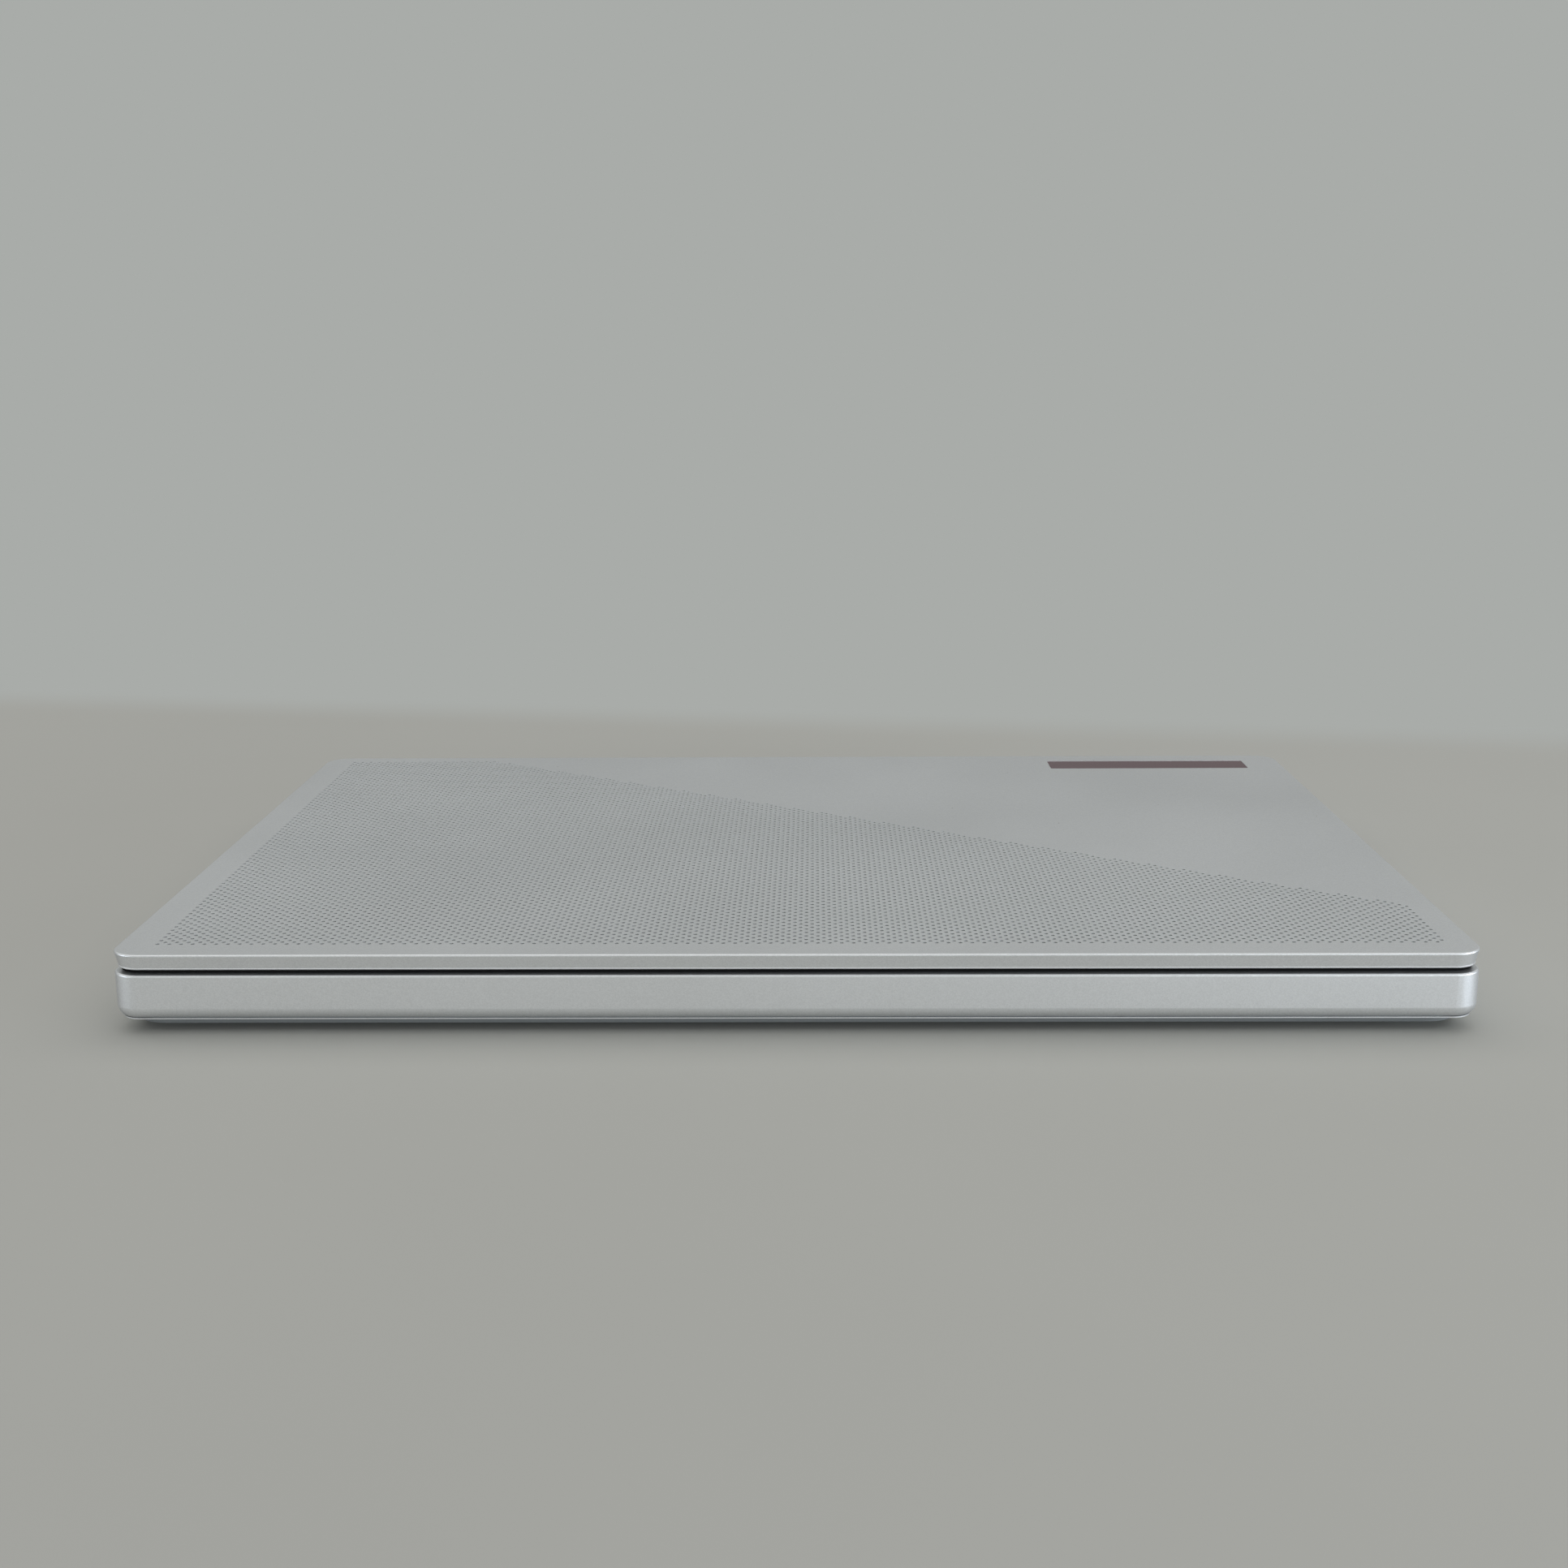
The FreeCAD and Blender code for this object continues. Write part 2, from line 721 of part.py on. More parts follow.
def keyboard_frame(places):
    """Plate with one hole per key, set down into the deck and held by a flange under it."""
    x1 = keys_x + frame_border - frame_clear
    y0 = keys_front - frame_border + frame_clear
    y1 = keys_rear + frame_border - frame_clear
    plate = slab(-x1, x1, y0, y1, z_flange, z_frame, key_corner + frame_border - frame_clear)
    flange = block(-tray_x, tray_x, tray_front, tray_rear, z_flange, z_under)
    holes = [slab(a - key_clear, b + key_clear, c - key_clear, d + key_clear, z_flange - wall, z_deck,
                  key_corner + key_clear) for _, a, b, c, d in places]
    return carve(join([plate, flange]), holes)


def keyboard_plate():
    """Tray under the keys, with standoffs for the mainboard."""
    tray = block(-tray_x, tray_x, tray_front, tray_rear, z_plate_under, z_flange)
    room = block(-tray_x + plate_rim, tray_x - plate_rim, tray_front + plate_rim, tray_rear - plate_rim,
                 z_plate, z_deck)
    feet = [post(x, y, z_board_top, z_plate, standoff_radius) for x, y in both_sides(board_posts)]
    bores = [post(x, y, z_board, z_plate_under, small_screw_radius + thread_clear)
             for x, y in both_sides(board_posts)]
    return carve(join([carve(tray, [room])] + feet), bores)


def key_domes(places):
    """Rubber dome under the middle of each key."""
    height = z_cap - z_plate
    return [Part.makeCone(dome_radius, dome_top_radius, height, V((a + b) / 2, (c + d) / 2, z_plate))
            for _, a, b, c, d in places]


def pad_piece(z0, z1):
    """Layer of the touchpad."""
    half = pad_width / 2 - pad_clear
    return slab(-half, half, pad_y0 + pad_clear, pad_y1 - pad_clear, z0, z1, pad_corner - pad_clear)


def touchpad_bracket():
    """Tray under the touchpad with its pivot ridge and click switch."""
    half = pad_width / 2
    tray = block(-half - bracket_rim, half + bracket_rim, pad_y0 - bracket_rim, pad_y1 + bracket_rim,
                 z_bracket - bracket_plate, z_under)
    room = block(-half, half, pad_y0, pad_y1, z_bracket, z_deck)
    pivot_y = pad_y1 - pad_clear - pivot_width
    ridge = block(-half, half, pivot_y, pivot_y + pivot_width, z_bracket, z_pad_under - pivot_clear)
    switch_y = pad_y0 + 2 * click_switch
    switch = block(-click_switch / 2, click_switch / 2, switch_y, switch_y + click_switch,
                   z_bracket, z_bracket + click_switch_height)
    return join([carve(tray, [room]), ridge, switch])


def buttons():
    """Power button, then the short-cut keys, each with a flange under the deck."""
    z0 = z_under - button_flange_gap - button_flange
    stems = button_openings(0.0, z0, z_deck)
    flanges = button_openings(button_clear + button_flange_reach, z0, z0 + button_flange)
    caps = [stem.makeChamfer(key_edge, level_edges(stem, z_deck)) for stem in stems]
    return [join([cap, flange]) for cap, flange in zip(caps, flanges)]


def button_board():
    """Small board under the buttons."""
    top = button_board_level()
    (x0, _), (x1, _) = button_board_posts()
    half = button_board_depth / 2
    plate = block(x0 - button_board_margin, x1 + button_board_margin, button_y - half, button_y + half,
                  top - button_board_thickness, top)
    room = post(*cover_posts[1], z_floor, z_deck, post_radius + button_clear)
    holes = [post(x, y, z_floor, z_deck, small_screw_radius + thread_clear) for x, y in button_board_posts()]
    return carve(plate, [room] + holes)


def hinge_bracket():
    """Right bracket in the base: a sleeve for the pin and a leaf screwed to the deck."""
    sleeve = rod(sleeve_in, sleeve_out, hinge_y, hinge_z, sleeve_radius)
    plate = block(sleeve_in, sleeve_out, leaf_front, hinge_y, z_leaf, z_leaf + leaf)
    cuts = [rod(notch_in, notch_out, hinge_y, hinge_z, pin_radius + pin_clear)]
    for x, y in leaf_screws:
        cuts.append(post(x, y, z_floor, z_deck, small_screw_radius + thread_clear))
        cuts.append(post(x, y, z_floor, z_leaf + small_head, small_head_radius + thread_clear))
    return carve(join([sleeve, plate]), cuts)


def hinge_arm():
    """Right arm of the lid: knuckle and pin on the hinge axis, neck, and a leaf inside the lid."""
    knuckle = rod(knuckle_in, knuckle_out, hinge_y, hinge_z, sleeve_radius)
    pin = rod(sleeve_in, knuckle_out, hinge_y, hinge_z, pin_radius)
    stalk = block(knuckle_in, knuckle_out, hinge_y - neck / 2, hinge_y + neck / 2, hinge_z, z_arm + arm_leaf)
    plate = block(sleeve_in, knuckle_out, arm_front, hinge_y + neck / 2, z_arm, z_arm + arm_leaf)
    cuts = []
    for x, y in arm_screws:
        cuts.append(post(x, y, z_lid, z_top, small_screw_radius + thread_clear))
        cuts.append(post(x, y, z_lid, z_arm + small_head, small_head_radius + thread_clear))
    return carve(join([knuckle, pin, stalk, plate]), cuts)


def small_screws(points, z, shank):
    """Small screws at the points, heads at z."""
    return [screw(x, y, z, shank, small_screw_radius, small_head, small_head_radius) for x, y in points]


def board_screws():
    """Screws of the mainboard, the socket boards, the battery's tabs and the button board."""
    grip = 0.9 * (z_plate_under - z_board_top)
    screws = small_screws(both_sides(board_posts), z_board - small_head, board + grip)
    for side in io_posts():
        screws += small_screws(side, z_io - io_board - small_head, io_board + 0.5 * socket_room)
    screws += small_screws(tab_posts(), z_plate_under - tab_thickness - small_head,
                           tab_thickness + deck_plate)
    under = button_board_level() - button_board_thickness
    screws += small_screws(button_board_posts(), under - small_head, button_board_thickness + deck_plate)
    return screws


def module_outlines():
    """Plan corners of the memory, storage and radio modules."""
    y0 = board_y0 + module_front
    return {
        "memory_module": (memory_x, memory_x + memory_width, y0, y0 + memory_depth),
        "storage_module": (storage_x, storage_x + storage_length, y0, y0 + storage_width),
        "radio_card": (radio_x, radio_x + radio_length, y0, y0 + storage_width),
    }


def mainboard():
    """T-shaped board between and in front of the fans, with a connector and a stud for each module."""
    holes = [post(x, y, z_floor, z_deck, small_screw_radius + thread_clear)
             for x, y in both_sides(board_posts)]
    parts = [block(-fan_out, fan_out, board_y0, board_step, z_board, z_board_top),
             block(-board_x, board_x, board_step, board_y1, z_board, z_board_top)]
    top = z_module
    for name, (x0, x1, y0, y1) in module_outlines().items():
        if name == "memory_module":
            parts.append(block(x0, x1, y0, y0 + connector_depth, top, z_board))
            parts.append(block(x0, x1, y1 - connector_depth, y1, top, z_board))
        else:
            parts.append(block(x0, x0 + connector_depth, y0, y1, top, z_board))
            parts.append(post(x1 - connector_depth, (y0 + y1) / 2, top, z_board, standoff_radius))
    return carve(join(parts), holes)


def module(x0, x1, y0, y1):
    """Module board with a row of chips on its lower face."""
    plate = block(x0, x1, y0, y1, z_module - module_board, z_module)
    count = 4
    pitch = (x1 - x0) / count
    margin = connector_depth / 2
    chips = [block(x0 + i * pitch + margin, x0 + (i + 1) * pitch - margin, y0 + margin * 2, y1 - margin * 2,
                   z_module - module_board - module_chip, z_module - module_board) for i in range(count)]
    return join([plate] + chips)


def square(x, side, z0, z1):
    """Square plate over one of the processor chips."""
    return block(x - side / 2, x + side / 2, chip_y - side / 2, chip_y + side / 2, z0, z1)


def heat_pipe(y0):
    """Flat pipe over both chips at y0, then to the right fin stack: straight runs and tangent bends."""
    y1 = (fin_y0 + fin_y1) / 2
    half = pipe_width / 2
    turn_x = board_x - pipe_turn_inset
    first_x = turn_x - pipe_bend
    last_x = turn_x + pipe_bend
    reach = pipe_bend + half
    low = y0 + pipe_bend
    high = y1 - pipe_bend
    parts = [block(chip_x[0] - chip_side / 2, first_x, y0 - half, y0 + half, z_pipe, z_pipe_top),
             block(turn_x - half, turn_x + half, low, high, z_pipe, z_pipe_top),
             block(last_x, fan_out - fin_inset, y1 - half, y1 + half, z_pipe, z_pipe_top)]
    quarters = [(first_x, low, block(first_x, first_x + reach, low - reach, low, z_pipe, z_pipe_top)),
                (last_x, high, block(last_x - reach, last_x, high, high + reach, z_pipe, z_pipe_top))]
    for x, y, quarter in quarters:
        ring = post(x, y, z_pipe, z_pipe_top, reach).cut(post(x, y, z_pipe, z_pipe_top, pipe_bend - half))
        parts.append(ring.common(quarter))
    return join(parts)


def heat_pipes():
    """Two pipes side by side over the chips, one to each fin stack."""
    aside = (pipe_width + pipe_gap) / 2
    return [heat_pipe(chip_y + aside), mirrored(heat_pipe(chip_y - aside))]


def fin_stack():
    """Right block of thin fins on the heat pipe, joined by a top plate."""
    x0 = fan_in + fin_inset
    x1 = fan_out - fin_inset
    top = z_leaf - fin_leaf_gap
    fins = [block(x0, x1, fin_y0, fin_y1, top - fin, top),
            block(x0, x1, fin_y0, fin_y1, z_pipe_top, z_pipe_top + fin)]
    count = int((x1 - x0 - fin) / fin_pitch) + 1
    for i in range(count):
        x = x0 + i * fin_pitch
        fins.append(block(x, x + fin, fin_y0, fin_y1, z_pipe_top, top))
    return join(fins)


def fan_housing():
    """Right fan housing: open to the fins, with an intake below and a fixed shaft."""
    body = block(fan_in, fan_out, fan_rear - fan_depth, fan_rear, z_fan, z_plate_under)
    room = block(fan_in + fan_wall, fan_out - fan_wall, fan_rear - fan_depth + fan_wall, fan_rear + fan_wall,
                 z_fan + fan_plate, z_plate_under - fan_plate)
    intake = post(fan_x, fan_y, z_floor, z_fan + fan_plate, fan_intake_radius)
    shaft = post(fan_x, fan_y, z_fan + fan_plate, z_plate_under - fan_plate, fan_shaft_radius)
    return join([carve(body, [room, intake]), shaft])


def fan_rotor():
    """Right fan rotor: hub with a bore for the shaft, and straight blades."""
    z0 = z_fan + fan_plate + fan_end_gap
    z1 = z_plate_under - fan_plate - fan_end_gap
    tip = min(fan_width, fan_depth) / 2 - fan_wall - fan_tip_gap
    blade = block(fan_hub_radius - fan_blade, tip, -fan_blade / 2, fan_blade / 2, z0, z1)
    parts = [post(fan_x, fan_y, z0, z1, fan_hub_radius)]
    for i in range(fan_blades):
        turned = blade.copy()
        turned.rotate(V(0, 0, 0), V(0, 0, 1), 360.0 * i / fan_blades)
        turned.translate(V(fan_x, fan_y, 0))
        parts.append(turned)
    return carve(join(parts), [post(fan_x, fan_y, z_fan, z_deck, fan_shaft_radius + fan_shaft_clear)])


def battery_pack():
    """Flat pack of cells under the palm rest, with two screwed tabs at its front."""
    half = half_w - battery_inset
    y0 = front + battery_front
    y1 = keys_front + battery_overlap
    pack = slab(-half, half, y0, y1, z_fan, z_plate_under, battery_corner)
    tabs = [block(x - tab_width / 2, x + tab_width / 2, y - boss_radius, y0 + battery_corner,
                  z_plate_under - tab_thickness, z_plate_under) for x, y in tab_posts()]
    cuts = [post(x, y, z_floor, z_deck, small_screw_radius + thread_clear) for x, y in tab_posts()]
    for i in range(1, cell_count):
        x = -half + 2 * half * i / cell_count
        cuts.append(block(x - cell_groove / 2, x + cell_groove / 2, y0, y1, z_fan, z_fan + cell_groove))
    return carve(join([pack] + tabs), cuts)


def speaker():
    """Right speaker box, stuck under the palm rest."""
    x1 = half_w - speaker_inset
    y0 = front + speaker_front
    return slab(x1 - speaker_width, x1, y0, tray_front - speaker_gap, z_floor + speaker_floor_gap, z_under,
                speaker_corner)


def io_boards():
    """Right and left boards that carry the side sockets."""
    boards = []
    for sign, posts in zip((1, -1), io_posts()):
        x0, x1 = sorted((sign * io_x0, sign * (mouth_x - io_edge_gap)))
        ys = sorted(y for _, y in posts)
        plate = block(x0, x1, ys[0] - io_margin, ys[1] + io_margin, z_io - io_board, z_io)
        boards.append(carve(plate, [post(x, y, z_floor, z_deck, small_screw_radius + thread_clear)
                                    for x, y in posts]))
    return boards


def shell_socket(w, h, length, y):
    """Socket on the right: a folded metal shell, open towards the side wall."""
    outer = block(mouth_x - length, mouth_x, y - w / 2, y + w / 2, z_io, z_io + h)
    room = block(mouth_x - length + socket_wall, mouth_x + wall,
                 y - w / 2 + socket_wall, y + w / 2 - socket_wall,
                 z_io + socket_wall, z_io + h - socket_wall)
    return carve(outer, [room])


def jack(w, h, length, bore, y):
    """Round jack on the right: a body with a nose in the wall's hole, bored from outside."""
    z = z_io + h / 2
    body = block(mouth_x - length, mouth_x, y - w / 2, y + w / 2, z_io, z_io + h)
    nose = rod(mouth_x - jack_back, half_w - nose_recess, y, z, bore + nose_wall)
    return carve(join([body, nose]), [rod(mouth_x - length + jack_back, half_w, y, z, bore)])


def sockets():
    """All side sockets by node name."""
    right_a = [shell_socket(serial_a_width, serial_a_height, serial_a_length, rear - s)
               for s in serial_a_setbacks]
    right_c = shell_socket(serial_c_width, serial_c_height, serial_c_length, rear - serial_c_right_setback)
    left_c = shell_socket(serial_c_width, serial_c_height, serial_c_length, rear - serial_c_left_setback)
    video = shell_socket(video_width, video_height, video_length, rear - video_setback)
    power = jack(power_jack_width, power_jack_height, power_jack_length, power_jack_bore,
                 rear - power_jack_setback)
    audio = jack(audio_width, audio_height, audio_length, audio_bore, rear - audio_setback)
    return {
        "serial_a_sockets": right_a,
        "serial_c_sockets": [right_c, mirrored(left_c)],
        "video_socket": [mirrored(video)],
        "power_jack": [mirrored(power)],
        "audio_jack": [mirrored(audio)],
    }


def lid_cover():
    """Metal lid: outer plate, walls, a ledge for the bezel and bosses for the hinge arms."""
    form = slab(-half_w, half_w, -half_d, half_d, z_lid, z_top, lid_corner)
    form = form.makeFillet(lid_edge, level_edges(form, z_top))
    form = form.makeChamfer(lid_rim_edge, level_edges(form, z_lid))
    deep = lid_wall + lid_ledge
    cuts = [slab(-half_w + lid_wall, half_w - lid_wall, -half_d + lid_wall, half_d - lid_wall,
                 z_lid - wall, z_cell, lid_corner - lid_wall),
            slab(-half_w + deep, half_w - deep, -half_d + deep, half_d - deep, z_lid - wall, z_lid_under,
                 lid_corner - deep),
            badge(badge_clear, z_top - badge_thickness - badge_recess, z_top + wall)]
    shell = carve(form, cuts)
    bosses = [post(x, y, z_arm + arm_leaf, z_lid_under + thread_clear, boss_radius)
              for x, y in both_sides(arm_screws)]
    bores = [post(x, y, z_lid, z_lid_under, small_screw_radius + thread_clear)
             for x, y in both_sides(arm_screws)]
    return carve(join([shell] + bosses), bores)


def badge(grow, z0, z1):
    """Bare plate in the rear right corner of the lid, or its pocket."""
    x1 = half_w - badge_right
    y1 = half_d - badge_rear
    return slab(x1 - badge_width - grow, x1 + grow, y1 - badge_depth - grow, y1 + grow, z0, z1,
                badge_corner + grow)


def hole_film():
    """Film stuck behind the lid's field of small holes."""
    m = film_margin
    x0 = -half_w + field_left - m
    x1 = half_w - field_right + m
    y0 = -half_d + field_front - m
    y1 = half_d - field_rear + m
    points = [(x0, y0), (x1, y0), (x1, y0 + field_right_depth + 2 * m),
              (x0 + field_rear_width + 2 * m, y1), (x0, y1)]
    wire = Part.makePolygon([V(x, y, z_film) for x, y in points + points[:1]])
    sheet = Part.Face(wire).extrude(V(0, 0, film))
    room = [post(x, y, z_lid, z_top, boss_radius + film_gap) for x, y in both_sides(arm_screws)]
    return carve(sheet, room)


def display_layer(inset, z0, z1):
    """Flat layer of the display."""
    return block(-half_w + cell_side + inset, half_w - cell_side - inset, -half_d + cell_front + inset,
                 half_d - cell_chin - inset, z0, z1)


def display_bezel():
    """Frame round the screen that closes the lid, with cut-outs for the hinge necks."""
    gap = frame_clear
    edge = lid_wall + gap
    plate = slab(-half_w + edge, half_w - edge, -half_d + edge, half_d - edge,
                 z_bezel, z_cell, lid_corner - edge)
    view = block(-half_w + cell_side + view_side, half_w - cell_side - view_side,
                 -half_d + cell_front + view_front, half_d - cell_chin - view_chin, z_lid, z_top)
    room = neck / 2 + neck_clear
    slot = block(knuckle_in - neck_clear, knuckle_out + neck_clear,
                 hinge_y - room, hinge_y + room, z_lid, z_top)
    return carve(plate, [view, slot, mirrored(slot)])


def bezel_gasket():
    """Soft strip on the bezel along the front and the sides."""
    edge = gasket_inset
    inner = edge + gasket_width
    ring = slab(-half_w + edge, half_w - edge, -half_d + edge, half_d - edge, z_bezel - gasket, z_bezel,
                lid_corner - edge)
    room = slab(-half_w + inner, half_w - inner, -half_d + inner, half_d - inner, z_bezel - gasket, z_bezel,
                lid_corner - inner)
    back = block(-half_w, half_w, arm_front, half_d, z_deck, z_top)
    return carve(ring, [room, back])


def lid_magnets():
    """Two magnets behind the lid's front edge."""
    y0 = -half_d + lid_wall + lid_ledge + magnet_gap
    magnet = block(magnet_x - magnet_length / 2, magnet_x + magnet_length / 2, y0, y0 + magnet_width,
                   z_backlight, z_film)
    return [magnet, mirrored(magnet)]


def antennas():
    """Two flat antennas under the lid's plate near the hinge."""
    y1 = half_d - antenna_rear
    return [block(x - antenna_length / 2, x + antenna_length / 2, y1 - antenna_width, y1,
                  z_lid_under - antenna, z_lid_under) for x in antenna_x]


def pieces():
    """All nodes with their solids."""
    places = key_places()
    nodes = {
        "top_case": [top_case()],
        "bottom_cover": [bottom_cover()],
        "front_feet": front_feet(),
        "rear_foot": rear_foot(),
        "cover_screws": cover_screws(),
        "keyboard_frame": [keyboard_frame(places)],
        "keyboard_plate": [keyboard_plate()],
        "key_domes": key_domes(places),
        "touchpad_plate": [pad_piece(z_pad_board, z_pad)],
        "touchpad_board": [pad_piece(z_pad_under, z_pad_board)],
        "touchpad_bracket": [touchpad_bracket()],
        "button_board": [button_board()],
        "board_screws": board_screws(),
        "mainboard": [mainboard()],
        "processor_chips": [square(x, chip_side, z_chip, z_board) for x in chip_x],
        "cold_plates": [square(x, cold_plate_side, z_pipe_top, z_chip) for x in chip_x],
        "heat_pipes": heat_pipes(),
        "battery_pack": [battery_pack()],
        "lid_cover": [lid_cover()],
        "badge_plate": [badge(0.0, z_top - badge_thickness - badge_recess, z_top - badge_recess)],
        "hole_film": [hole_film()],
        "display_cell": [display_layer(0.0, z_cell, z_backlight)],
        "display_backlight": [display_layer(backlight_inset, z_backlight, z_film - film_gap)],
        "display_bezel": [display_bezel()],
        "bezel_gasket": [bezel_gasket()],
        "lid_magnets": lid_magnets(),
        "antennas": antennas(),
    }
    for name, x0, x1, y0, y1 in places:
        nodes.setdefault(name, []).append(key_cap(x0, x1, y0, y1))
    power, *hot = buttons()
    nodes["power_button"] = [power]
    nodes["hot_keys"] = hot
    for name, corners in module_outlines().items():
        nodes[name] = [module(*corners)]
    nodes.update(sockets())
    nodes["io_board_right"], nodes["io_board_left"] = [[b] for b in io_boards()]
    leaf_shank = leaf - small_head + deck_plate
    arm_shank = z_lid_under - z_arm - small_head
    for name, solid in (("speakers", speaker()), ("fin_stacks", fin_stack())):
        nodes[name] = [solid, mirrored(solid)]
    for name, solid in (("fan_housing", fan_housing()), ("fan_rotor", fan_rotor()),
                        ("hinge_bracket", hinge_bracket()), ("hinge_arm", hinge_arm())):
        nodes[name + "_right"] = [solid]
        nodes[name + "_left"] = [mirrored(solid)]
    nodes["hinge_screws"] = small_screws(both_sides(leaf_screws), z_leaf, leaf_shank)
    nodes["lid_screws"] = small_screws(both_sides(arm_screws), z_arm, arm_shank)
    return nodes


os.makedirs("parts", exist_ok=True)
for node, solids in pieces().items():
    shape = solids[0] if len(solids) == 1 else Part.makeCompound(solids)
    count = len(shape.Solids)
    if count != len(solids) or not shape.isValid():
        print(node, "has", count, "solids of", len(solids), "valid:", shape.isValid())
    shape.exportStep("parts/" + node + ".step")
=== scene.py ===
"""Looks of a slim laptop computer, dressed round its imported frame.

Lengths are in metres unless a name ends in _mm. X runs to the right, Y to the rear, Z up.
"""
import json
import logging
import math
from collections.abc import Callable
from dataclasses import dataclass, field
from enum import Enum

import bpy
import numpy as np
from mathutils import Matrix, Vector
from mathutils.geometry import delaunay_2d_cdt


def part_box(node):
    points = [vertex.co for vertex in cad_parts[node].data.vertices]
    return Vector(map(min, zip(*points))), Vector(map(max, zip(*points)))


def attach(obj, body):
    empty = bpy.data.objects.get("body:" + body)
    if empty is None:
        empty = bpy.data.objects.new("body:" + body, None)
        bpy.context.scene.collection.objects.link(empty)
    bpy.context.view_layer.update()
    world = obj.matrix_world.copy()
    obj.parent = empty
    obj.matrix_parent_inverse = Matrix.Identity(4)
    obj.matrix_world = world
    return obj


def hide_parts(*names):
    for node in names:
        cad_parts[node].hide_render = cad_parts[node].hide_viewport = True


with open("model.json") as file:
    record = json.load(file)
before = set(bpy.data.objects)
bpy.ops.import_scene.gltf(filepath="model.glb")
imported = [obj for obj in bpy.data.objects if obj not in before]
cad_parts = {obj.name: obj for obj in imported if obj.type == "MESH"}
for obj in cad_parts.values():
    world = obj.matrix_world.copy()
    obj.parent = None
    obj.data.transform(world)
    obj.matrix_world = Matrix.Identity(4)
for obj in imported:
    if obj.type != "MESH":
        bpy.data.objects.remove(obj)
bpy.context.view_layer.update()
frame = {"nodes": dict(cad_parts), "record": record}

MM = 0.001
WELD = 1e-7                   # points nearer than this become one
NET_WELD_MM = 1e-6            # the same, while a sheet is cut
UP = np.array([0.0, 0.0, 1.0])
LINE_STRETCH = (0.02, 1.0, 1.0)       # drawn out along X, noise becomes lines
TRACE_BANDS = 9.0             # copper bands to a cell of the board's net
TRACE_GAP = 0.6               # share of each band that is bare
NOISE_SPAN = (0.3, 0.7)       # where most of a noise lies
MIX_A, MIX_B, MIX_RESULT = 6, 7, 2    # colour sockets of the Mix node
log = logging.getLogger("laptop")

Pair = tuple[float, float]
Triple = tuple[float, float, float]
Colour = Triple
Profile = list[Pair]
Net = tuple[np.ndarray, np.ndarray]
Socket = bpy.types.NodeSocket
Outputs = bpy.types.bpy_prop_collection


def linear(red: int, green: int, blue: int) -> Colour:
    """Scene-linear colour of an 8-bit display colour.

    Formula: ((c + 0.055) / 1.055) to the power 2.4, and c / 12.92 for the darkest colours.

    Args:
        red, green, blue: display values from 0 to 255.

    Returns:
        The three linear values from 0 to 1.
    """
    c = np.array([red, green, blue]) / 255
    values = np.where(c > 0.04045, ((c + 0.055) / 1.055) ** 2.4, c / 12.92)
    return tuple(float(v) for v in values)


DUST_COLOUR = linear(120, 118, 112)


class Texture(Enum):
    """How a surface was finished."""

    PEARL = "blasted metal under a pearly lacquer"
    MOULDED = "fine moulded grain"
    BRUSHED = "fine lines along X"
    POLISHED = "smooth, with faint smudges"
    TRACED = "solder mask over copper traces"


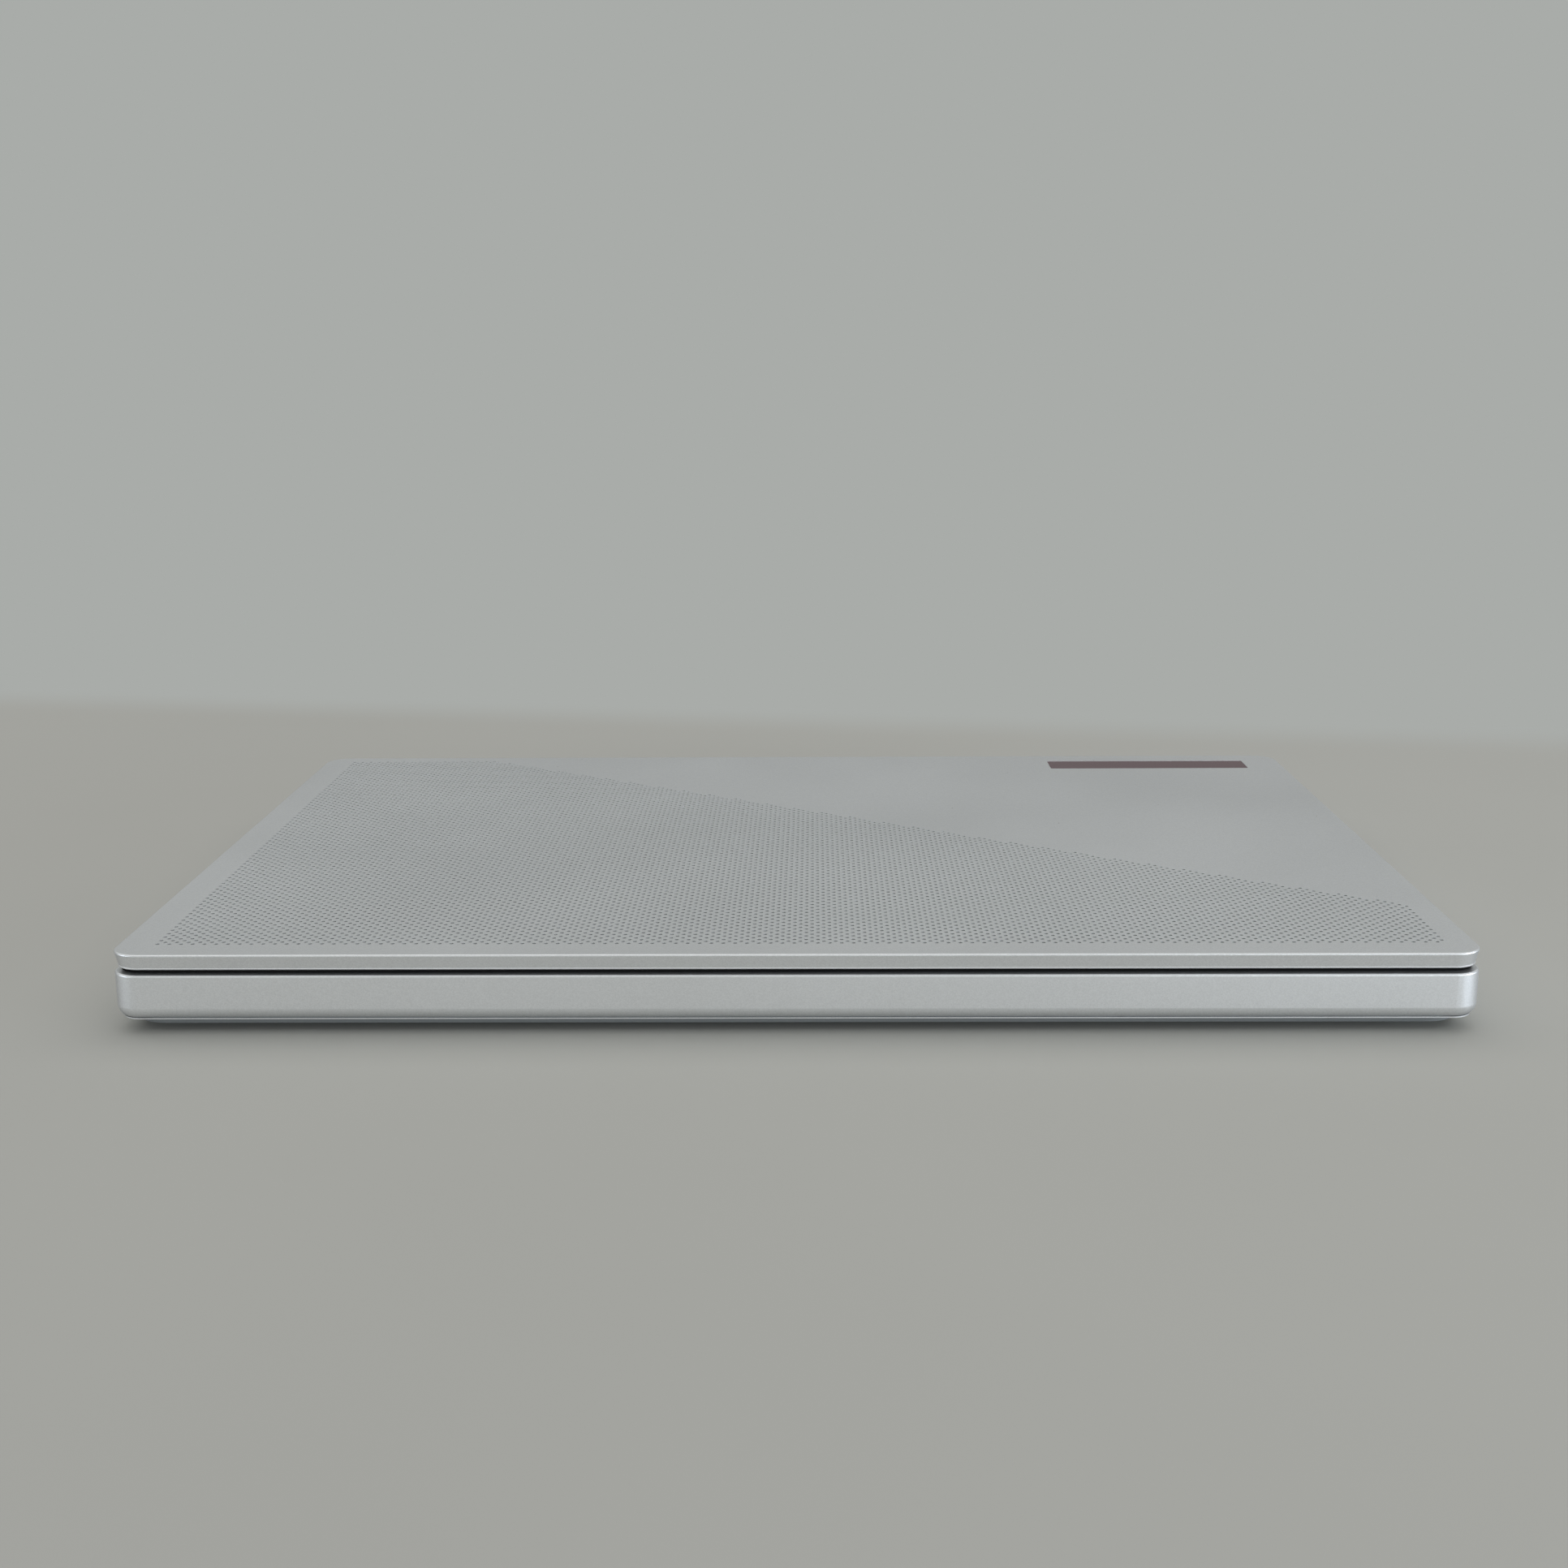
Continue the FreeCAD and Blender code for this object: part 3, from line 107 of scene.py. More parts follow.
class Nodes:
    """Shorthand for filling one node tree."""

    def __init__(self, tree: bpy.types.NodeTree) -> None:
        """Keeps the tree."""
        self.tree = tree

    def add(self, kind: str, inputs: dict | None = None, **settings: object) -> bpy.types.Node:
        """Adds one node.

        Args:
            kind: Blender's name of the node type.
            inputs: values for its inputs by name or place; a socket is linked, anything else is set.
            settings: properties of the node.

        Returns:
            The new node.
        """
        made = self.tree.nodes.new(kind)
        for name, value in settings.items():
            setattr(made, name, value)
        for name, value in (inputs or {}).items():
            if isinstance(value, Socket):
                self.tree.links.new(value, made.inputs[name])
            else:
                made.inputs[name].default_value = value
        return made

    def object_coords(self, stretch: Triple = (1.0, 1.0, 1.0)) -> Socket:
        """Object coordinates, stretched along the axes."""
        coords = self.add("ShaderNodeTexCoord").outputs["Object"]
        return self.add("ShaderNodeMapping", {"Vector": coords, "Scale": stretch}).outputs[0]

    def cells(self, scale: Socket, distance: str = "EUCLIDEAN") -> Outputs:
        """Outputs of a net of random cells."""
        return self.add("ShaderNodeTexVoronoi", {"Vector": self.object_coords(), "Scale": scale},
                        distance=distance).outputs

    def math(self, operation: str, a: object, b: object) -> Socket:
        """Result of one sum on two values or sockets."""
        return self.add("ShaderNodeMath", {0: a, 1: b}, operation=operation).outputs[0]

    def ramp(self, value: Socket, source: Pair, target: Pair) -> Socket:
        """The value carried from the source range to the target range."""
        return self.add("ShaderNodeMapRange", {"Value": value, "From Min": source[0], "From Max": source[1],
                                               "To Min": target[0], "To Max": target[1]}).outputs[0]

    def smooth(self, value: Socket, span: Pair) -> Socket:
        """Soft step of the value, from 0 to 1 over the span."""
        return self.add("ShaderNodeMapRange", {"Value": value, "From Min": span[0], "From Max": span[1]},
                        interpolation_type="SMOOTHSTEP").outputs[0]

    def blend(self, share: Socket, a: object, b: object) -> Socket:
        """Colour between two others.

        Args:
            share: 0 for a, 1 for b.
            a, b: colours, or sockets that give them.

        Returns:
            The mixed colour.
        """
        ends = {place: value if isinstance(value, Socket) else (*value, 1.0)
                for place, value in ((MIX_A, a), (MIX_B, b))}
        return self.add("ShaderNodeMix", {0: share, **ends}, data_type="RGBA").outputs[MIX_RESULT]

    def group(self, tree: bpy.types.NodeTree, **inputs: float) -> Outputs:
        """Places a shared group.

        Args:
            tree: the group.
            inputs: values of its own, by the inputs' names with _ for a space.

        Returns:
            The group's outputs.
        """
        values = {name.replace("_", " "): value for name, value in inputs.items()}
        return self.add("ShaderNodeGroup", values, node_tree=tree).outputs

    def seen_or_mirrored(self) -> Socket:
        """Tells what is seen from plain light.

        Returns:
            1 for what the camera, gloss or glass sees, and 0 for plain light.
        """
        rays = self.add("ShaderNodeLightPath").outputs
        straight = self.math("MAXIMUM", rays["Is Camera Ray"], rays["Is Glossy Ray"])
        return self.math("MAXIMUM", straight, rays["Is Transmission Ray"])


def fresh_nodes(owner: bpy.types.Material | bpy.types.World) -> Nodes:
    """Empties a node tree.

    Args:
        owner: material or world that has it.

    Returns:
        The tree, ready to be filled.
    """
    owner.use_nodes = True
    owner.node_tree.nodes.clear()
    return Nodes(owner.node_tree)


def add_object(name: str, data: bpy.types.ID) -> bpy.types.Object:
    """Adds an object to the scene, at the origin.

    Args:
        name: its name.
        data: its mesh, light or camera.

    Returns:
        The new object.
    """
    made = bpy.data.objects.new(name, data)
    bpy.context.scene.collection.objects.link(made)
    return made


def shared_group(name: str, inputs: dict[str, float], outputs: dict[str, Callable]) -> bpy.types.NodeTree:
    """Shader node group that several finishes use, built once.

    Args:
        name: name of the group.
        inputs: its inputs with their usual values.
        outputs: its outputs, each with the function that makes its socket from the nodes and the inputs.

    Returns:
        The group.
    """
    tree = bpy.data.node_groups.get(name)
    if tree:
        return tree
    tree = bpy.data.node_groups.new(name, "ShaderNodeTree")
    for key, value in inputs.items():
        socket = tree.interface.new_socket(name=key, in_out="INPUT", socket_type="NodeSocketFloat")
        socket.default_value = value
    for key in outputs:
        tree.interface.new_socket(name=key, in_out="OUTPUT", socket_type="NodeSocketFloat")
    nodes = Nodes(tree)
    given = nodes.add("NodeGroupInput").outputs
    nodes.add("NodeGroupOutput", {key: make(nodes, given) for key, make in outputs.items()})
    return tree


def noise(scale: str, detail: float, stretch: Triple = (1.0, 1.0, 1.0)) -> Callable:
    """Maker of a noise socket whose scale is a group input."""
    return lambda nodes, given: nodes.add("ShaderNodeTexNoise", {
        "Vector": nodes.object_coords(stretch), "Scale": given[scale], "Detail": detail}).outputs[0]


def fine_grain() -> bpy.types.NodeTree:
    """Fine even grain and broad soft smudges.

    Returns:
        The group.
    """
    return shared_group("fine_grain", {"Grain Scale": 4000.0, "Smudge Scale": 14.0},
                        {"Grain": noise("Grain Scale", detail=2.0),
                         "Smudge": noise("Smudge Scale", detail=3.0)})


def fine_lines() -> bpy.types.NodeTree:
    """Group of fine lines along X."""
    return shared_group("fine_lines", {"Line Scale": 3000.0},
                        {"Lines": noise("Line Scale", detail=1.0, stretch=LINE_STRETCH)})


def pearl_flake() -> bpy.types.NodeTree:
    """Small flat flakes, each with its own brightness.

    Returns:
        The group.
    """
    def flakes(nodes: Nodes, given: Outputs) -> Socket:
        """Brightness of the nearest flake."""
        cells = nodes.cells(given["Flake Scale"])
        return nodes.add("ShaderNodeSeparateColor", {0: cells["Color"]}).outputs[0]
    return shared_group("pearl_flake", {"Flake Scale": 5000.0}, {"Flake": flakes})


def dust_specks() -> bpy.types.NodeTree:
    """Sparse specks of dust, as a mask.

    Returns:
        The group.
    """
    def specks(nodes: Nodes, given: Outputs) -> Socket:
        """Mask of the specks, each in the middle of a cell picked by chance.

        Args:
            nodes: the group's nodes.
            given: the group's inputs.

        Returns:
            1 in a speck, and 0 elsewhere.
        """
        cells = nodes.cells(given["Speck Scale"])
        chance = nodes.add("ShaderNodeSeparateColor", {0: cells["Color"]}).outputs[1]
        near = nodes.math("LESS_THAN", cells["Distance"], given["Speck Size"])
        return nodes.math("MULTIPLY", near, nodes.math("LESS_THAN", chance, given["Share"]))
    return shared_group("dust_specks", {"Speck Scale": 260.0, "Speck Size": 0.05, "Share": 0.12},
                        {"Dust": specks})


def board_traces() -> bpy.types.NodeTree:
    """Copper traces under the solder mask, as a mask.

    Returns:
        The group.
    """
    def traces(nodes: Nodes, given: Outputs) -> Socket:
        """Mask of the copper: where the fraction of distance times bands passes the gap.

        Args:
            nodes: the group's nodes.
            given: the group's inputs.

        Returns:
            1 on copper, and 0 elsewhere.
        """
        distance = nodes.cells(given["Trace Scale"], "MANHATTAN")["Distance"]
        bands = nodes.math("FRACT", nodes.math("MULTIPLY", distance, TRACE_BANDS), 0.0)
        return nodes.math("GREATER_THAN", bands, TRACE_GAP)
    return shared_group("board_traces", {"Trace Scale": 260.0}, {"Trace": traces})


@dataclass(frozen=True)
class Finish:
    """One finish: its colour, its gloss and the marks of how it was made."""

    name: str
    colour: Colour
    texture: Texture
    metallic: float = 0.0
    roughness: float = 0.5
    spread: float = 0.06          # how far colour and roughness wander
    grain: float = 4000.0         # grains, lines or flakes to the metre
    relief: float = 0.000004      # depth of the grain
    relief_strength: float = 0.25
    coat: float = 0.0
    coat_roughness: float = 0.25
    specular: float = 0.5
    dust: float = 0.0             # share of the dust's cells that hold a speck
    second: Colour = (0.0, 0.0, 0.0)       # of the traces
    edge_tint: Colour = (1.0, 1.0, 1.0)    # of the gloss, seen at a grazing angle

    def _pattern(self, nodes: Nodes) -> tuple[Socket, Socket, Socket]:
        """Marks of how the surface was made.

        Args:
            nodes: the material's nodes.

        Returns:
            Sockets for the colour's share, the roughness' share and the height of the relief.
        """
        grain = nodes.group(fine_grain(), Grain_Scale=self.grain)
        if self.texture is Texture.PEARL:
            flake = nodes.group(pearl_flake(), Flake_Scale=self.grain)["Flake"]
            return flake, grain["Smudge"], grain["Grain"]
        if self.texture is Texture.BRUSHED:
            lines = nodes.group(fine_lines(), Line_Scale=self.grain)["Lines"]
            return lines, lines, lines
        if self.texture is Texture.TRACED:
            trace = nodes.group(board_traces())["Trace"]
            return trace, grain["Grain"], trace
        if self.texture is Texture.POLISHED:
            return grain["Smudge"], grain["Smudge"], grain["Grain"]
        return grain["Grain"], grain["Smudge"], grain["Grain"]

    def build(self) -> bpy.types.Material:
        """Makes the material, or finds the one made before.

        Returns:
            The material.
        """
        material = bpy.data.materials.get(self.name)
        if material:
            return material
        material = bpy.data.materials.new(self.name)
        nodes = fresh_nodes(material)
        tone, sheen, height = self._pattern(nodes)
        wander = (1 - self.spread, 1 + self.spread)
        low, high = (tuple(min(1.0, c * share) for c in self.colour) for share in wander)
        if self.texture is Texture.TRACED:
            low, high = self.colour, self.second
        colour = nodes.blend(tone, low, high)
        if self.dust:
            specks = nodes.group(dust_specks(), Share=self.dust)["Dust"]
            colour = nodes.blend(specks, colour, DUST_COLOUR)
        rough = nodes.ramp(sheen, NOISE_SPAN, tuple(self.roughness * share for share in wander))
        bump = nodes.add("ShaderNodeBump", {"Strength": self.relief_strength, "Distance": self.relief,
                                            "Height": height})
        shader = nodes.add("ShaderNodeBsdfPrincipled", {
            "Base Color": colour, "Roughness": rough, "Normal": bump.outputs[0], "Metallic": self.metallic,
            "Coat Weight": self.coat, "Coat Roughness": self.coat_roughness,
            "Specular IOR Level": self.specular, "Specular Tint": (*self.edge_tint, 1.0)})
        nodes.add("ShaderNodeOutputMaterial", {"Surface": shader.outputs[0]})
        return material


FINISHES: dict[str, Finish] = {
    "silver_shell": Finish("pearl_silver", (0.80, 0.81, 0.82), Texture.PEARL, metallic=0.85, roughness=0.38,
                           spread=0.05, grain=4200.0, coat=0.15, dust=0.02, edge_tint=(0.50, 0.50, 0.51)),
    "grey_cover": Finish("grey_paint", (0.30, 0.32, 0.33), Texture.MOULDED, metallic=0.3, grain=2600.0),
    "badge_mirror": Finish("dusky_mirror", (0.33, 0.26, 0.28), Texture.POLISHED, metallic=1.0, roughness=0.12,
                           spread=0.04, grain=6000.0, relief_strength=0.05, edge_tint=(0.68, 0.60, 0.62)),
    "screen": Finish("dark_glass", (0.008, 0.008, 0.010), Texture.POLISHED, roughness=0.16, spread=0.15,
                     grain=6000.0, relief_strength=0.03, dust=0.04),
    "black_plastic": Finish("black_plastic", (0.017, 0.017, 0.019), Texture.MOULDED, roughness=0.52,
                            spread=0.12, grain=2200.0, relief=0.00001, relief_strength=0.35, specular=0.25),
    "key_plastic": Finish("key_plastic", (0.52, 0.53, 0.54), Texture.MOULDED, roughness=0.46, spread=0.03,
                          grain=3600.0),
    "rubber": Finish("rubber", (0.022, 0.022, 0.023), Texture.MOULDED, roughness=0.8, spread=0.12,
                     grain=1800.0, relief=0.00002, relief_strength=0.4),
    "circuit_board": Finish("solder_mask", (0.006, 0.030, 0.034), Texture.TRACED, roughness=0.35, spread=0.1,
                            relief=0.00002, second=(0.016, 0.070, 0.066)),
    "chip_package": Finish("chip_package", (0.03, 0.03, 0.032), Texture.MOULDED, roughness=0.4, spread=0.1,
                           grain=5000.0),
    "copper": Finish("drawn_copper", (0.72, 0.36, 0.21), Texture.BRUSHED, metallic=1.0, roughness=0.3,
                     spread=0.1),
    "steel": Finish("plated_steel", (0.55, 0.55, 0.56), Texture.BRUSHED, metallic=1.0, roughness=0.32,
                    spread=0.08),
    "fin_metal": Finish("bare_aluminium", (0.68, 0.68, 0.70), Texture.BRUSHED, metallic=1.0, roughness=0.34,
                        spread=0.08),
    "pad_glass": Finish("etched_glass", (0.54, 0.55, 0.55), Texture.POLISHED, roughness=0.34, spread=0.04,
                        grain=8000.0, relief_strength=0.1),
    "film": Finish("satin_film", (0.30, 0.31, 0.31), Texture.MOULDED, spread=0.08),
}
# Near-black foam, darker than the rubber: the gasket's own dark colour, darkened further as painted shade for
# the gap between lid and deck.
GASKET_FOAM_AND_SHADE = Finish("gasket_foam_and_shade", (0.006, 0.006, 0.006), Texture.MOULDED, roughness=0.9, spread=0.2,
                     grain=1500.0, relief=0.00004, relief_strength=0.5, specular=0.1)
HOLE_FLOOR = Finish("hole_floor", (0.20, 0.21, 0.205), Texture.MOULDED, metallic=0.3, roughness=0.55,
                    spread=0.1, grain=5000.0)


@dataclass
class Patch:
    """Part of a surface: points, triangles and one normal for each corner of each triangle."""

    points: np.ndarray
    triangles: np.ndarray
    normals: np.ndarray
    material: int = 0

    def __post_init__(self) -> None:
        """Turns each triangle the way its normals point, by the sign of (b - a) x (c - a) . n."""
        a, b, c = (self.points[self.triangles[:, i]] for i in range(3))
        facing = np.einsum("ij,ij->i", np.cross(b - a, c - a), self.normals.sum(axis=1))
        back = facing < 0
        self.triangles[back] = self.triangles[back][:, ::-1]
        self.normals[back] = self.normals[back][:, ::-1]


def lift(plan: np.ndarray, z: float) -> np.ndarray:
    """Points of a plan at the height z."""
    return np.column_stack([plan, np.full(len(plan), z)])


def flat_patch(plan: np.ndarray, triangles: np.ndarray, z: float, normal: np.ndarray,
               material: int = 0) -> Patch:
    """Level patch at height z.

    Args:
        plan: its points, as X and Y.
        triangles: point numbers, three to a row.
        z: its height.
        normal: the way that it faces.
        material: place of its material on the piece.

    Returns:
        The patch.
    """
    normals = np.broadcast_to(normal, (len(triangles), 3, 3)).copy()
    return Patch(lift(plan, z), np.array(triangles), normals, material)


def grid_patch(points: np.ndarray, normals: np.ndarray, closed: bool) -> Patch:
    """Patch over a grid of points: each cell (i, j) is two triangles.

    Args:
        points: rows by columns by 3.
        normals: the normal at each point.
        closed: whether the last column joins the first.

    Returns:
        The patch.
    """
    rows, columns = points.shape[:2]
    number = np.arange(rows * columns).reshape(rows, columns)
    right = np.roll(number, -1, axis=1)
    if not closed:
        number, right = number[:, :-1], right[:, :-1]
    a, b, c, d = number[:-1], right[:-1], right[1:], number[1:]
    halves = [np.stack(corners, axis=-1).reshape(-1, 3) for corners in ((a, b, c), (a, c, d))]
    triangles = np.concatenate(halves)
    return Patch(points.reshape(-1, 3), triangles, normals.reshape(-1, 3)[triangles])


def wall_patch(starts: np.ndarray, ends: np.ndarray, z: Pair, outward: np.ndarray) -> Patch:
    """Upright walls on level edges, each between the heights z.

    Args:
        starts, ends: X and Y of each edge's two ends.
        z: the two heights.
        outward: X and Y of the way that each wall faces.

    Returns:
        The patch.
    """
    count = len(starts)
    corners = [lift(plan, height) for height in z for plan in (starts, ends)]
    first = np.arange(count)
    a, b, d, c = (first + k * count for k in range(4))
    triangles = np.concatenate([np.stack([a, b, c], 1), np.stack([a, c, d], 1)])
    facing = lift(outward, 0.0)
    normals = np.repeat(np.concatenate([facing, facing])[:, None], 3, axis=1)
    return Patch(np.concatenate(corners), triangles, normals)


def run_facings(profile: Profile) -> np.ndarray:
    """Facing of each straight run of a profile.

    A run that goes x outward and y upward faces (-y, x), to its left, at unit length.

    Args:
        profile: inset and height of each point.

    Returns:
        The normals' parts outward and upward, one row for each run.
    """
    inset, height = np.diff(np.array(profile), axis=0).T
    facing = np.stack([-height, -inset], axis=1)
    return facing / np.linalg.norm(facing, axis=1, keepdims=True)


@dataclass(frozen=True)
class RoundLoop:
    """Level rectangle with round corners; a circle when the corners fill it."""

    x0: float
    x1: float
    y0: float
    y1: float
    corner: float
    steps: int = 14

    @classmethod
    def round_box(cls, low: Vector, high: Vector, corner: float) -> "RoundLoop":
        """Loop round a box."""
        return cls(low.x, high.x, low.y, high.y, corner)

    def outward(self) -> np.ndarray:
        """Outward directions (cos t, sin t), with t turning a quarter at each corner.

        Returns:
            One direction for each point of the loop.
        """
        quarter = np.linspace(0, math.pi / 2, self.steps + 1)
        t = (np.arange(4)[:, None] * math.pi / 2 + quarter).ravel()
        return np.stack([np.cos(t), np.sin(t)], axis=1)

    def plan(self, inset: float = 0.0) -> np.ndarray:
        """Loop moved in: each point is its corner's centre + (corner radius - inset) times outward.

        Args:
            inset: how far it moves in.

        Returns:
            X and Y of its points.
        """
        c = self.corner
        x = np.repeat([self.x1 - c, self.x0 + c, self.x0 + c, self.x1 - c], self.steps + 1)
        y = np.repeat([self.y1 - c, self.y1 - c, self.y0 + c, self.y0 + c], self.steps + 1)
        return np.stack([x, y], axis=1) + (c - inset) * self.outward()

    def sweep(self, profile: Profile, facing: Profile) -> Patch:
        """Profile carried round the loop: each point is the loop at its inset, lifted to its height.

        Args:
            profile: inset and height of each point of the profile.
            facing: at each of them, the normal's parts outward and upward.

        Returns:
            The patch.
        """
        outward = self.outward()
        points = np.stack([lift(self.plan(inset), z) for inset, z in profile])
        normals = np.stack([lift(out * outward, up) for out, up in facing])
        return grid_patch(points, normals, True)

    def bands(self, profile: Profile) -> list[Patch]:
        """Straight bands round the loop, with a sharp edge at each point of the profile.

        Args:
            profile: inset and height of each point; each band faces to the left of its run.

        Returns:
            One patch for each band.
        """
        return [self.sweep([start, end], [facing, facing])
                for start, end, facing in zip(profile, profile[1:], run_facings(profile))]

    def front_bands(self, profile: Profile, rear: float) -> list[Patch]:
        """Straight bands along the loop's front and sides, the sides ending at the rear.

        Args:
            profile: inset and height of each point; each band faces to the left of its run.
            rear: Y at which both sides end.

        Returns:
            One patch for each band.
        """
        front = slice(2 * (self.steps + 1), None)
        ends = ((1, 1), (0, 0))
        outward = np.pad(self.outward()[front], ends, mode="edge")
        rows = []
        for inset, z in profile:
            plan = np.pad(self.plan(inset)[front], ends, mode="edge")
            plan[[0, -1], 1] = rear
            rows.append(lift(plan, z))
        patches = []
        for start, end, (out, up) in zip(rows, rows[1:], run_facings(profile)):
            normals = lift(out * outward, up)
            patches.append(grid_patch(np.stack([start, end]), np.stack([normals, normals]), False))
        return patches

    def disc(self, inset: float, z: float, normal: np.ndarray, material: int = 0) -> Patch:
        """Level face inside the loop, as a fan about its first point.

        Args:
            inset: how far its edge lies inside the loop.
            z: its height.
            normal: the way that it faces.
            material: place of its material on the piece.

        Returns:
            The patch.
        """
        plan = self.plan(inset)
        last = np.arange(1, len(plan) - 1)
        return flat_patch(plan, np.stack([np.zeros_like(last), last, last + 1], 1), z, normal, material)


def circle(x: float, y: float, radius: float, steps: int = 6) -> RoundLoop:
    """Round loop about a point."""
    return RoundLoop(x - radius, x + radius, y - radius, y + radius, radius, steps)


def tube(x: float, y: float, radius: float, bore: float, z: Pair) -> list[Patch]:
    """Upright tube: outer wall, lower ring, bore and upper ring.

    Args:
        x, y: its middle.
        radius, bore: its outer and inner radius.
        z: its lower and upper height.

    Returns:
        Its patches.
    """
    low, high = z
    deep = radius - bore
    return circle(x, y, radius).bands([(0.0, high), (0.0, low), (deep, low), (deep, high), (0.0, high)])


def slab(loop: RoundLoop, z: Pair, edge: float) -> list[Patch]:
    """Level slab with bevelled upper and lower edges.

    Args:
        loop: its outline.
        z: its lower and upper height.
        edge: width of the bevels.

    Returns:
        Its patches.
    """
    low, high = z
    sides = loop.bands([(edge, high), (0.0, high - edge), (0.0, low + edge), (edge, low)])
    return sides + [loop.disc(edge, high, UP), loop.disc(edge, low, -UP)]


def cut_sheet(rings: list[Net], keep: Callable[[np.ndarray], np.ndarray]) -> Net:
    """Triangles between rings of edges: a constrained Delaunay net, less what is not kept.

    Args:
        rings: points, and pairs of point numbers that stay as edges.
        keep: function from triangle middles to the ones that stay.

    Returns:
        Points, as X and Y, and triangles.
    """
    starts = np.cumsum([0] + [len(points) for points, _ in rings])
    points = np.concatenate([points for points, _ in rings]) / MM
    edges = np.concatenate([pairs + start for (_, pairs), start in zip(rings, starts)])
    made, _, faces, *_ = delaunay_2d_cdt([Vector(p) for p in points], edges.tolist(), [], 0, NET_WELD_MM)
    plan = np.array(made) * MM
    faces = np.array(faces)
    return plan, faces[keep(plan[faces].mean(axis=1))]


def closed_ring(points: np.ndarray) -> Net:
    """Points of a ring, and the pairs of point numbers that close it."""
    first = np.arange(len(points))
    return points, np.stack([first, np.roll(first, -1)], axis=1)


def make_piece(name: str, body: str, slot: str, patches: list[Patch], finishes: list[Finish] | None = None,
               smooth: bool = True) -> bpy.types.Object:
    """Welds patches into one mesh, dresses it and lets it ride on its body.

    Args:
        name: the piece's name.
        body: CAD body that it moves with.
        slot: the record's material slot.
        patches: its surface.
        finishes: its finishes, by the patches' material numbers; the slot's own if none are given.
        smooth: whether the patches' own normals are used; flat facets otherwise.

    Returns:
        The new object.
    """
    starts = np.cumsum([0] + [len(p.points) for p in patches])
    loose = np.concatenate([p.points for p in patches])
    triangles = np.concatenate([p.triangles + s for p, s in zip(patches, starts)])
    _, first, place = np.unique(np.round(loose / WELD).astype(np.int64), axis=0, return_index=True,
                                return_inverse=True)
    corners = place.reshape(-1)[triangles]
    kinds = np.concatenate([np.full(len(p.triangles), p.material) for p in patches])
    normals = np.concatenate([p.normals for p in patches])
    whole = (corners != np.roll(corners, 1, axis=1)).all(axis=1)
    corners, kinds, normals = corners[whole], kinds[whole], normals[whole]

    mesh = bpy.data.meshes.new(name)
    mesh.vertices.add(len(first))
    mesh.vertices.foreach_set("co", loose[first].ravel())
    mesh.loops.add(corners.size)
    mesh.loops.foreach_set("vertex_index", corners.ravel().astype(np.int32))
    mesh.polygons.add(len(corners))
    mesh.polygons.foreach_set("loop_start", np.arange(0, corners.size, 3, dtype=np.int32))
    mesh.polygons.foreach_set("material_index", kinds.astype(np.int32))
    mesh.polygons.foreach_set("use_smooth", np.full(len(corners), smooth))
    mesh.update(calc_edges=True)
    if smooth:
        mesh.normals_split_custom_set(normals.reshape(-1, 3).tolist())
    for finish in finishes or [FINISHES[slot]]:
        mesh.materials.append(finish.build())
    made = add_object(name, mesh)
    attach(made, body)
    log.info("%s: %d triangles on %s", name, len(corners), body)
    return made


